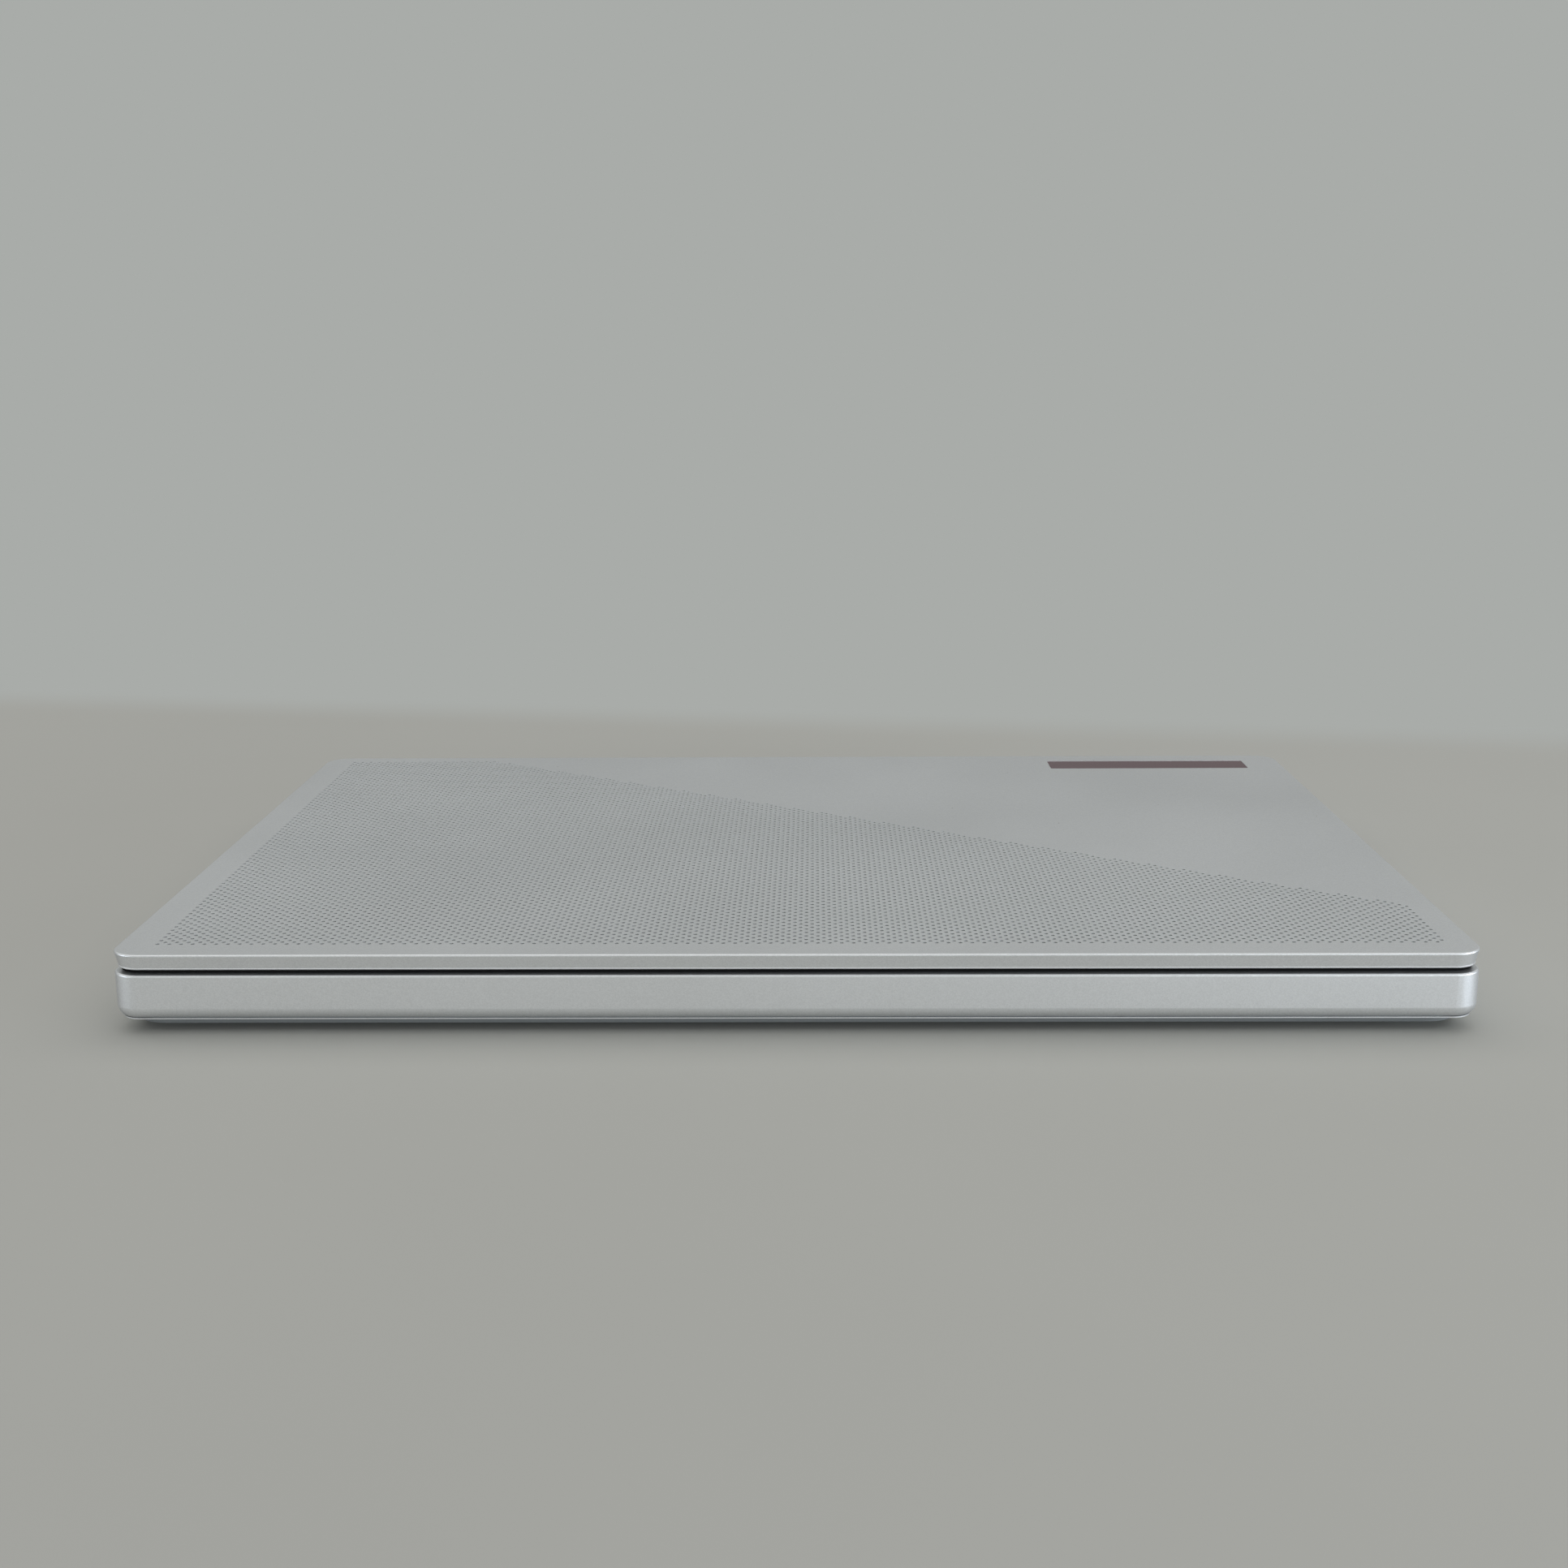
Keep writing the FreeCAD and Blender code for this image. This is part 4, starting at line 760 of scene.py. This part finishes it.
@dataclass
class HoleField:
    """Field of small holes in the lid, on a square net turned by 45 degrees.

    Hole (a, b), with a + b even, is centred at the first hole + (a, b) times the step, and sits in the
    diamond whose corners lie one step away along X and Y.
    """

    outline: np.ndarray
    pitch: float = 2.0 * MM
    radius: float = 0.52 * MM
    depth: float = 0.4 * MM
    sides: int = 8
    step: float = field(init=False)
    origin: np.ndarray = field(init=False)
    mask: np.ndarray = field(init=False)         # which net places hold a hole

    def __post_init__(self) -> None:
        """Finds the holes whose middles lie in the outline."""
        self.step = self.pitch / math.sqrt(2)
        self.origin = self.outline.min(axis=0) + self.radius
        spans = np.ceil(np.ptp(self.outline, axis=0) / self.step).astype(int) + 1
        a, b = np.meshgrid(np.arange(spans[0]), np.arange(spans[1]), indexing="ij")
        middles = self.origin + np.stack([a, b], -1) * self.step
        self.mask = self.inside(middles) & ((a + b) % 2 == 0)

    def inside(self, points: np.ndarray) -> np.ndarray:
        """Tests points against the convex outline: left of, or on, each of its edges.

        Args:
            points: X and Y of the points.

        Returns:
            Whether each lies inside.
        """
        start = self.outline
        run = np.roll(start, -1, axis=0) - start
        offset = points[..., None, :] - start
        return (run[:, 0] * offset[..., 1] - run[:, 1] * offset[..., 0] >= -WELD).all(axis=-1)

    def covers(self, points: np.ndarray) -> np.ndarray:
        """Tests points against the field's diamonds, by rounding along the diamonds' own two axes.

        Args:
            points: X and Y of the points.

        Returns:
            Whether each lies in a diamond.
        """
        u, v = ((points - self.origin) / self.step).T
        p = 2 * np.round((u + v) / 2).astype(int)
        q = 2 * np.round((u - v) / 2).astype(int)
        a, b = (p + q) // 2, (p - q) // 2
        known = (a >= 0) & (b >= 0) & (a < self.mask.shape[0]) & (b < self.mask.shape[1])
        return known & self.mask[np.where(known, a, 0), np.where(known, b, 0)]

    def cells(self) -> np.ndarray:
        """Net places of the holes, row by row from the front."""
        places = np.argwhere(self.mask)
        return places[np.lexsort((places[:, 0], places[:, 1]))]

    def corners(self, cells: np.ndarray) -> Net:
        """Corners of some holes' diamonds.

        Args:
            cells: net places of the holes.

        Returns:
            Plan points of the corners, each once, and the four point numbers of each diamond.
        """
        turns = np.array([(1, 0), (0, 1), (-1, 0), (0, -1)])
        net = (cells[:, None] + turns).reshape(-1, 2)
        places, number = np.unique(net, axis=0, return_inverse=True)
        return self.origin + places * self.step, number.reshape(-1, 4)

    def rim(self, cells: np.ndarray) -> Net:
        """Outer edge of some holes' diamonds: the edges that only one diamond has.

        Args:
            cells: net places of the holes.

        Returns:
            The diamonds' corners, and pairs of point numbers with the field on their left.
        """
        points, number = self.corners(cells)
        edges = np.stack([number, np.roll(number, -1, axis=1)], axis=-1).reshape(-1, 2)
        _, back, count = np.unique(np.sort(edges, axis=1), axis=0, return_inverse=True, return_counts=True)
        return points, edges[count[back.reshape(-1)] == 1]

    def plate(self, cells: np.ndarray, z_top: float, z_under: float) -> list[Patch]:
        """Drilled plate over some of the holes: face, hole walls, hole floors, underside and rim.

        Args:
            cells: net places of its holes.
            z_top: height of its face.
            z_under: height of its underside.

        Returns:
            The patches.
        """
        points, number = self.corners(cells)
        count = len(cells)
        t = np.arange(self.sides) * 2 * math.pi / self.sides
        ring = self.radius * np.stack([np.cos(t), np.sin(t)], axis=1)
        mouths = (self.origin + cells[:, None] * self.step + ring).reshape(-1, 2)
        mouth = len(points) + np.arange(count)[:, None] * self.sides + np.arange(self.sides)
        wide = self.sides // 4
        parts = []
        for i in range(4):
            corner, following = number[:, i], number[:, (i + 1) % 4]
            fan = [mouth[:, (wide * i + k) % self.sides] for k in range(-wide // 2, wide // 2 + 1)]
            parts += [np.stack([corner, p, q], 1) for p, q in zip(fan, fan[1:])]
            parts.append(np.stack([corner, fan[-1], following], 1))
        face = flat_patch(np.concatenate([points, mouths]), np.concatenate(parts), z_top, UP)
        halves = np.concatenate([number[:, [0, 1, 2]], number[:, [0, 2, 3]]])
        under = flat_patch(points, halves, z_under, -UP)
        ends = np.roll(mouths.reshape(count, self.sides, 2), -1, axis=1).reshape(-1, 2)
        inward = -np.tile(np.roll(ring, -1, axis=0) + ring, (count, 1)) / (2 * self.radius)
        walls = wall_patch(mouths, ends, (z_top - self.depth, z_top), inward)
        first = np.arange(count)[:, None] * self.sides
        fans = np.concatenate([first + (0, k, k + 1) for k in range(1, self.sides - 1)])
        floors = flat_patch(mouths, fans, z_top - self.depth, UP, 1)
        rim_points, rim = self.rim(cells)
        run = rim_points[rim[:, 1]] - rim_points[rim[:, 0]]
        outward = np.column_stack([run[:, 1], -run[:, 0]]) / self.pitch
        sides = wall_patch(rim_points[rim[:, 0]], rim_points[rim[:, 1]], (z_under, z_top), outward)
        return [face, under, walls, floors, sides]


@dataclass
class Lid:
    """Metal lid: swept edge, plain plate with the badge's pocket, and the field of holes."""

    corner: float = 7.0 * MM
    edge: float = 0.4 * MM
    lean: float = 0.8 * MM                       # the wall's foot, inside its head
    rim_edge: float = 0.2 * MM
    rim_bead: float = 0.12 * MM
    wall: float = 1.3 * MM
    ledge: float = 0.8 * MM
    plate: float = 0.8 * MM
    badge_clear: float = 0.05 * MM
    badge_corner: float = 0.6 * MM
    field_left: float = 9.0 * MM
    field_right: float = 7.5 * MM
    field_front: float = 8.4 * MM
    field_rear: float = 5.2 * MM
    field_right_depth: float = 32.0 * MM
    field_rear_width: float = 48.3 * MM
    boss_radius: float = 2.2 * MM
    boss_bore: float = 0.65 * MM
    fillet_steps: int = 8
    pocket_steps: int = 4
    low: Vector = field(init=False)
    high: Vector = field(init=False)
    loop: RoundLoop = field(init=False)
    pocket: RoundLoop = field(init=False)
    pocket_floor: float = field(init=False)
    z_under: float = field(init=False)
    holes: HoleField = field(init=False)

    def __post_init__(self) -> None:
        """Takes its place from the frame."""
        self.low, self.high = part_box("lid_cover")
        self.loop = RoundLoop.round_box(self.low, self.high, self.corner)
        low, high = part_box("badge_plate")
        grow = self.badge_clear
        self.pocket = RoundLoop(low.x - grow, high.x + grow, low.y - grow, high.y + grow,
                                self.badge_corner + grow, self.pocket_steps)
        self.pocket_floor = low.z
        self.z_under = self.high.z - self.plate
        x0, x1 = self.low.x + self.field_left, self.high.x - self.field_right
        y0, y1 = self.low.y + self.field_front, self.high.y - self.field_rear
        self.holes = HoleField(np.array([(x0, y0), (x1, y0), (x1, y0 + self.field_right_depth),
                                         (x0 + self.field_rear_width, y1), (x0, y1)]))

    def edge_patches(self) -> list[Patch]:
        """Lid's edge: a quarter-round above, the leaning wall, the rim's bead and the steps inside it.

        The rounding is inset = r (1 - sin t), height = top - r (1 - cos t), for t from 0 to a quarter turn.

        Returns:
            The patches.
        """
        t = np.linspace(0, math.pi / 2, self.fillet_steps + 1)
        rounding = list(zip(self.edge * (1 - np.sin(t)), self.high.z - self.edge * (1 - np.cos(t))))
        facing = list(zip(np.sin(t), np.cos(t)))
        low = self.low.z
        chin = low + self.rim_edge
        brow = chin + self.rim_bead
        rim = self.lean - self.rim_bead
        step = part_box("display_cell")[0].z
        deep = self.wall + self.ledge
        steps = [(0.0, self.high.z - self.edge), (self.lean, brow + self.rim_bead), (rim, brow), (rim, chin),
                 (rim + self.rim_edge, low), (self.wall, low), (self.wall, step), (deep, step),
                 (deep, self.z_under)]
        return [self.loop.sweep(rounding, facing), *self.loop.bands(steps)]

    def plate_patches(self) -> list[Patch]:
        """Plain part of the lid's plate, above and below, with the window for the holes and the pocket.

        Returns:
            The patches.
        """
        points, rim = self.holes.rim(self.holes.cells())
        used, rim = np.unique(rim, return_inverse=True)
        window = (points[used], rim.reshape(-1, 2))

        def clear(middles: np.ndarray) -> np.ndarray:
            """Tests points against the field and the pocket.

            Args:
                middles: X and Y of the points.

            Returns:
                Whether each lies outside both.
            """
            p = self.pocket
            x, y = middles.T
            held = (x > p.x0) & (x < p.x1) & (y > p.y0) & (y < p.y1)
            return ~held & ~self.holes.covers(middles)

        outer = closed_ring(self.loop.plan(self.edge))
        inner = closed_ring(self.loop.plan(self.wall + self.ledge))
        top = cut_sheet([outer, window, closed_ring(self.pocket.plan())], clear)
        under = cut_sheet([inner, window], lambda middles: ~self.holes.covers(middles))
        starts, ends = window[0][window[1][:, 0]], window[0][window[1][:, 1]]
        run = ends - starts
        inward = np.column_stack([-run[:, 1], run[:, 0]]) / self.holes.pitch
        top_z = self.high.z
        return [flat_patch(*top, top_z, UP), flat_patch(*under, self.z_under, -UP),
                wall_patch(starts, ends, (self.z_under, top_z), inward),
                *self.pocket.bands([(0.0, self.pocket_floor), (0.0, top_z)]),
                self.pocket.disc(0.0, self.pocket_floor, UP)]

    def bosses(self) -> list[Patch]:
        """Threaded bosses over the screws of the two hinge arms.

        Returns:
            The patches.
        """
        low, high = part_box("lid_screws")
        head = (high.y - low.y) / 2
        y = low.y + head
        patches = []
        for side, outer in (("left", low.x + head), ("right", high.x - head)):
            arm_low, arm_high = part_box("hinge_arm_" + side)
            heights = (arm_high.z, self.z_under)
            for x in (outer, arm_low.x + arm_high.x - outer):
                patches += tube(x, y, self.boss_radius, self.boss_bore, heights)
        return patches

    def build(self) -> None:
        """Makes the lid's shell and the two drilled plates in it."""
        patches = self.edge_patches() + self.plate_patches() + self.bosses()
        shell = make_piece("lid_shell", "lid", "silver_shell", patches)
        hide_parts("lid_cover")
        cells = self.holes.cells()
        half = len(cells) // 2
        finishes = [FINISHES["silver_shell"], HOLE_FLOOR]
        for name, part in (("front", slice(0, half)), ("rear", slice(half, None))):
            patches = self.holes.plate(cells[part], self.high.z, self.z_under)
            made = make_piece("lid_holes_" + name, "lid", "silver_shell", patches, finishes, smooth=False)
            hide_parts("lid_cover")


@dataclass
class GasketAndShade:
    """Soft dark strip between the lid's rim and the deck, along the front and the sides: the lid's gasket,
    reaching out towards the rim in near-black foam, as painted shade that darkens the gap between lid and
    deck.
    """

    inset: float = 1.5 * MM                      # from the lid's outside
    width: float = 2.3 * MM
    corner: float = 7.0 * MM

    def build(self) -> None:
        """Makes the strip from the lid's rim to the gasket's inner side, near black as painted shade in the
        gap.
        """
        low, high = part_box("bezel_gasket")
        lid_low, lid_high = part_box("lid_cover")
        loop = RoundLoop.round_box(lid_low, lid_high, self.corner)
        inner = self.inset + self.width
        top = high.z
        corners = [(self.inset, top), (self.inset, low.z), (inner, low.z), (inner, top), (self.inset, top)]
        patches = loop.front_bands(corners, high.y)
        inset, z = np.array(corners[1:]).T
        for x, turn in ((lid_low.x, 1.0), (lid_high.x, -1.0)):
            points = np.column_stack([x + turn * inset, np.full(len(z), high.y), z])
            facing = np.broadcast_to((0.0, 1.0, 0.0), (2, 3, 3)).copy()
            patches.append(Patch(points, np.array([(0, 1, 2), (0, 2, 3)]), facing))
        # near-black foam: painted shade in the gap between lid and deck
        made = make_piece("gasket_and_shade_strip", "lid", "rubber", patches, [GASKET_FOAM_AND_SHADE])
        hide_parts("bezel_gasket")


@dataclass
class CoverLip:
    """Thin bright lip of the bottom cover, which follows the wall above it just under the seam."""

    corner: float = 5.0 * MM
    proud: float = 0.2 * MM                      # outside the cover
    seam: float = 0.22 * MM
    thickness: float = 0.3 * MM
    reach: float = 3.0 * MM                      # inward, to meet the cover in its rounder corners

    def build(self) -> None:
        """Makes the lip: its upper face, its edge, its underside and its hidden inner edge."""
        low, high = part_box("bottom_cover")
        loop = RoundLoop.round_box(low, high, self.corner)
        top = high.z - self.seam
        foot = top - self.thickness
        patches = loop.bands([(self.reach, top), (-self.proud, top), (-self.proud, foot), (self.reach, foot),
                              (self.reach, top)])
        make_piece("cover_lip", "base", "silver_shell", patches)


@dataclass
class Sockets:
    """Contact tongues inside the sockets at the two sides."""

    wall: float = 0.35 * MM
    setback: float = 0.8 * MM                    # behind the socket's mouth
    corner: float = 0.3 * MM
    edge: float = 0.1 * MM
    serial_a_width: float = 13.2 * MM
    serial_c_width: float = 9.0 * MM
    serial_c_length: float = 8.0 * MM
    serial_a: Triple = (10.8 * MM, 1.9 * MM, 1.1 * MM)     # width, thickness and rise of the tongue
    serial_c: Triple = (6.6 * MM, 0.7 * MM, 0.0)
    video: Triple = (11.4 * MM, 1.0 * MM, 0.5 * MM)
    corner_steps: int = 3

    def tongue(self, mouth: float, back: float, y: float, z: float, size: Triple) -> list[Patch]:
        """One tongue from the socket's back wall to just behind its mouth.

        Args:
            mouth, back: X of the socket's open and closed ends.
            y, z: middle of the socket.
            size: the tongue's width, thickness and rise above the middle.

        Returns:
            Its patches.
        """
        width, thickness, rise = size
        inward = math.copysign(1.0, back - mouth)
        ends = sorted((mouth + inward * self.setback, back - inward * self.wall))
        loop = RoundLoop(*ends, y - width / 2, y + width / 2, self.corner, self.corner_steps)
        middle = z + rise
        return slab(loop, (middle - thickness / 2, middle + thickness / 2), self.edge)

    def build(self) -> None:
        """Makes the tongues of all the sockets."""
        low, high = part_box("serial_a_sockets")
        half = self.serial_a_width / 2
        middle = (low.z + high.z) / 2
        patches = []
        for y in (low.y + half, high.y - half):
            patches += self.tongue(high.x, low.x, y, middle, self.serial_a)
        make_piece("serial_a_tongues", "base", "black_plastic", patches)
        low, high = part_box("serial_c_sockets")
        half = self.serial_c_width / 2
        middle = (low.z + high.z) / 2
        patches = self.tongue(high.x, high.x - self.serial_c_length, low.y + half, middle, self.serial_c)
        patches += self.tongue(low.x, low.x + self.serial_c_length, high.y - half, middle, self.serial_c)
        make_piece("serial_c_tongues", "base", "black_plastic", patches)
        low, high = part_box("video_socket")
        patches = self.tongue(low.x, high.x, (low.y + high.y) / 2, (low.z + high.z) / 2, self.video)
        make_piece("video_tongue", "base", "black_plastic", patches)


@dataclass
class HomingBars:
    """Two small bars that guide the forefingers on the home row."""

    key_gap: float = 3.2 * MM
    units_across: int = 15
    first_key: float = 1.75                      # key units before the first letter
    letters: tuple[int, ...] = (3, 6)
    width: float = 4.2 * MM
    depth: float = 0.7 * MM
    height: float = 0.15 * MM
    setback: float = 3.0 * MM                    # behind the key's front edge
    sink: float = 0.1 * MM
    edge: float = 0.1 * MM
    corner_steps: int = 4

    def build(self) -> None:
        """Makes both bars."""
        low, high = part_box("home_letter_keys")
        unit = (high.x - low.x + self.key_gap) / self.units_across
        start = low.x - self.key_gap / 2
        patches = []
        for letter in self.letters:
            x = start + (self.first_key + letter + 0.5) * unit
            y = low.y + self.setback
            loop = RoundLoop(x - self.width / 2, x + self.width / 2, y - self.depth / 2, y + self.depth / 2,
                             self.depth / 2, self.corner_steps)
            patches += slab(loop, (high.z - self.sink, high.z + self.height), self.edge)
        make_piece("homing_bars", "home_letter_row", "key_plastic", patches)


@dataclass
class CameraEye:
    """Small camera window and its light in the bezel above the screen."""

    setback: float = 3.4 * MM                    # from the bezel's free edge
    radius: float = 0.9 * MM
    pupil: float = 0.55 * MM
    light_aside: float = 6.0 * MM
    light_radius: float = 0.3 * MM
    proud: float = 0.03 * MM
    eye_steps: int = 8
    light_steps: int = 4

    def build(self) -> None:
        """Makes the ring, the pupil and the light."""
        low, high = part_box("display_bezel")
        x = (low.x + high.x) / 2
        y = low.y + self.setback
        face = low.z - self.proud
        ring = self.radius - self.pupil
        eye = circle(x, y, self.radius, self.eye_steps)
        light = circle(x + self.light_aside, y, self.light_radius, self.light_steps)
        patches = [*eye.bands([(0.0, low.z), (0.0, face), (ring, face)]), eye.disc(ring, face, -UP, 1),
                   *light.bands([(0.0, low.z), (0.0, face)]), light.disc(0.0, face, -UP, 1)]
        make_piece("camera_eye", "lid", "screen", patches, [FINISHES["black_plastic"], FINISHES["screen"]])


@dataclass
class Works:
    """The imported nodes, each in the finish of its material slot."""

    def build(self) -> None:
        """Gives each node the finish of its slot in the record."""
        for part in frame["record"]["subparts"]:
            node = frame["nodes"][part["node"]]
            material = FINISHES[part["material_slot"]].build()
            if not node.material_slots:
                node.data.materials.append(material)
            for slot in node.material_slots:
                slot.material = material
            log.info("%s dressed as %s", part["node"], material.name)


SKYLIGHT: Colour = (0.84, 0.92, 1.0)
WINDOW_LIGHT: Colour = (0.80, 0.89, 1.0)


@dataclass(frozen=True)
class Lamp:
    """Soft box: its place, what it points at, its size, its radiance and its colour."""

    name: str
    place: Triple
    target: Triple
    size: Pair
    radiance: float
    colour: Colour = (1.0, 1.0, 1.0)

    def build(self) -> None:
        """Makes the lamp; its power is radiance times pi times its area."""
        data = bpy.data.lights.new(self.name, "AREA")
        data.shape = "RECTANGLE"
        data.size, data.size_y = self.size
        data.energy = self.radiance * math.pi * self.size[0] * self.size[1]
        data.color = self.colour
        made = add_object(self.name, data)
        made.location = self.place
        made.rotation_mode = "QUATERNION"
        made.rotation_quaternion = (Vector(self.target) - Vector(self.place)).to_track_quat("-Z", "Y")


@dataclass
class Studio:
    """Pale floor that turns into a plain backdrop, soft lamps, and the camera."""

    floor_colour: Colour = linear(185, 185, 179)
    backdrop: Colour = linear(169, 172, 169)
    sky: float = 0.34
    cloud_scale: float = 5.0
    cloud_detail: float = 3.0
    cloud_spread: float = 0.03                   # how far the floor's colour wanders
    reach: float = 4.0
    turn_left: Pair = (-0.349, 0.333)            # where the floor ends, left and right
    turn_right: Pair = (0.315, 0.224)
    turn_soft: float = 0.03
    round_reach: Pair = (0.5, 0.8)               # the floor ends this far out in every direction
    focal_px: float = 2405.135
    frame_px: float = 1932.0
    sensor_mm: float = 36.0
    near_clip: float = 10.0 * MM
    place: Triple = (5.177 * MM, -547.839 * MM, 160.305 * MM)
    yaw: float = -0.01600                        # the camera's turns, in radians
    pitch: float = 0.22385
    roll: float = -0.00665
    lamps: tuple[Lamp, ...] = (
        Lamp("ceiling_front", (0.15, -1.25, 2.8), (0.15, -1.25, 0.0), (9.0, 3.1), 0.36),
        Lamp("ceiling_rear", (0.15, 1.6, 2.8), (0.15, 1.6, 0.0), (9.0, 2.6), 0.83),
        Lamp("front_strip", (0.2, -2.4, 0.3), (0.0, -0.1, 0.0), (5.0, 0.5), 0.8),
        Lamp("front_right", (0.9, -1.3, 0.18), (0.1, -0.1, 0.0), (1.2, 0.3), 2.5, SKYLIGHT),
        Lamp("right_window", (0.99, -0.45, 0.09), (0.16, -0.11, 0.0), (0.7, 0.16), 16.0, WINDOW_LIGHT),
        Lamp("left_window", (-0.99, -0.45, 0.09), (-0.16, -0.11, 0.0), (0.7, 0.16), 5.0, WINDOW_LIGHT),
    )

    def world(self) -> None:
        """Even pale light; the backdrop's colour where it is seen."""
        world = bpy.data.worlds.new("studio")
        nodes = fresh_nodes(world)
        light = nodes.add("ShaderNodeBackground", {"Color": (1.0, 1.0, 1.0, 1.0), "Strength": self.sky})
        seen = nodes.add("ShaderNodeBackground", {"Color": (*self.backdrop, 1.0), "Strength": 1.0})
        mix = nodes.add("ShaderNodeMixShader", {0: nodes.seen_or_mirrored(), 1: light.outputs[0],
                                                2: seen.outputs[0]})
        nodes.add("ShaderNodeOutputWorld", {"Surface": mix.outputs[0]})
        bpy.context.scene.world = world

    def floor(self) -> None:
        """Level floor; past the line from turn_left to turn_right, and far out, it shows the backdrop."""
        material = bpy.data.materials.new("floor")
        nodes = fresh_nodes(material)
        left, right = Vector(self.turn_left), Vector(self.turn_right)
        across = (right - left).normalized()
        past = Vector((-across.y, across.x))
        coords = nodes.add("ShaderNodeTexCoord").outputs["Object"]
        far = nodes.add("ShaderNodeVectorMath", {0: coords, 1: (*past, 0.0)}, operation="DOT_PRODUCT")
        edge = past.dot(left)
        behind = nodes.smooth(far.outputs["Value"], (edge - self.turn_soft, edge + self.turn_soft))
        out = nodes.add("ShaderNodeVectorMath", {0: coords}, operation="LENGTH")
        share = nodes.math("MAXIMUM", behind, nodes.smooth(out.outputs["Value"], self.round_reach))
        cloud = nodes.add("ShaderNodeTexNoise", {"Vector": coords, "Scale": self.cloud_scale,
                                                 "Detail": self.cloud_detail}).outputs[0]
        low, high = (tuple(c * tone for c in self.floor_colour)
                     for tone in (1 - self.cloud_spread, 1 + self.cloud_spread))
        ground = nodes.add("ShaderNodeBsdfDiffuse", {"Color": nodes.blend(cloud, low, high)})
        seen = nodes.add("ShaderNodeEmission", {"Color": (*self.backdrop, 1.0), "Strength": 1.0})
        pale = nodes.math("MULTIPLY", share, nodes.seen_or_mirrored())
        mix = nodes.add("ShaderNodeMixShader", {0: pale, 1: ground.outputs[0], 2: seen.outputs[0]})
        nodes.add("ShaderNodeOutputMaterial", {"Surface": mix.outputs[0]})
        mesh = bpy.data.meshes.new("floor")
        r = self.reach
        mesh.from_pydata([(-r, -r, 0), (r, -r, 0), (r, r, 0), (-r, r, 0)], [], [(0, 1, 2, 3)])
        mesh.materials.append(material)
        made = add_object("floor", mesh)

    def camera(self) -> None:
        """Camera at the viewing angle: its axes are turned by yaw and pitch, then rolled about the view."""
        cos, sin = math.cos, math.sin
        ahead = Vector((sin(self.yaw) * cos(self.pitch), cos(self.yaw) * cos(self.pitch), -sin(self.pitch)))
        level = Vector((cos(self.yaw), -sin(self.yaw), 0.0))
        above = level.cross(ahead)
        right = cos(self.roll) * level + sin(self.roll) * above
        top = cos(self.roll) * above - sin(self.roll) * level
        data = bpy.data.cameras.new("camera")
        data.sensor_width = self.sensor_mm
        data.lens = self.focal_px / self.frame_px * self.sensor_mm
        data.clip_start = self.near_clip
        made = add_object("camera", data)
        turn = Matrix((right, top, -ahead)).transposed()
        made.matrix_world = Matrix.Translation(self.place) @ turn.to_4x4()
        bpy.context.scene.camera = made

    def build(self) -> None:
        """Makes the whole studio."""
        self.world()
        self.floor()
        for lamp in self.lamps:
            lamp.build()
        self.camera()
        bpy.context.scene.view_settings.view_transform = "Standard"


def main() -> None:
    """Builds the studio and the object."""
    logging.basicConfig(level=logging.INFO, format="%(name)s: %(message)s")
    for part in (Studio, Works, Lid, GasketAndShade, CoverLip, Sockets, HomingBars, CameraEye):
        part().build()


if __name__ == "__main__":
    main()
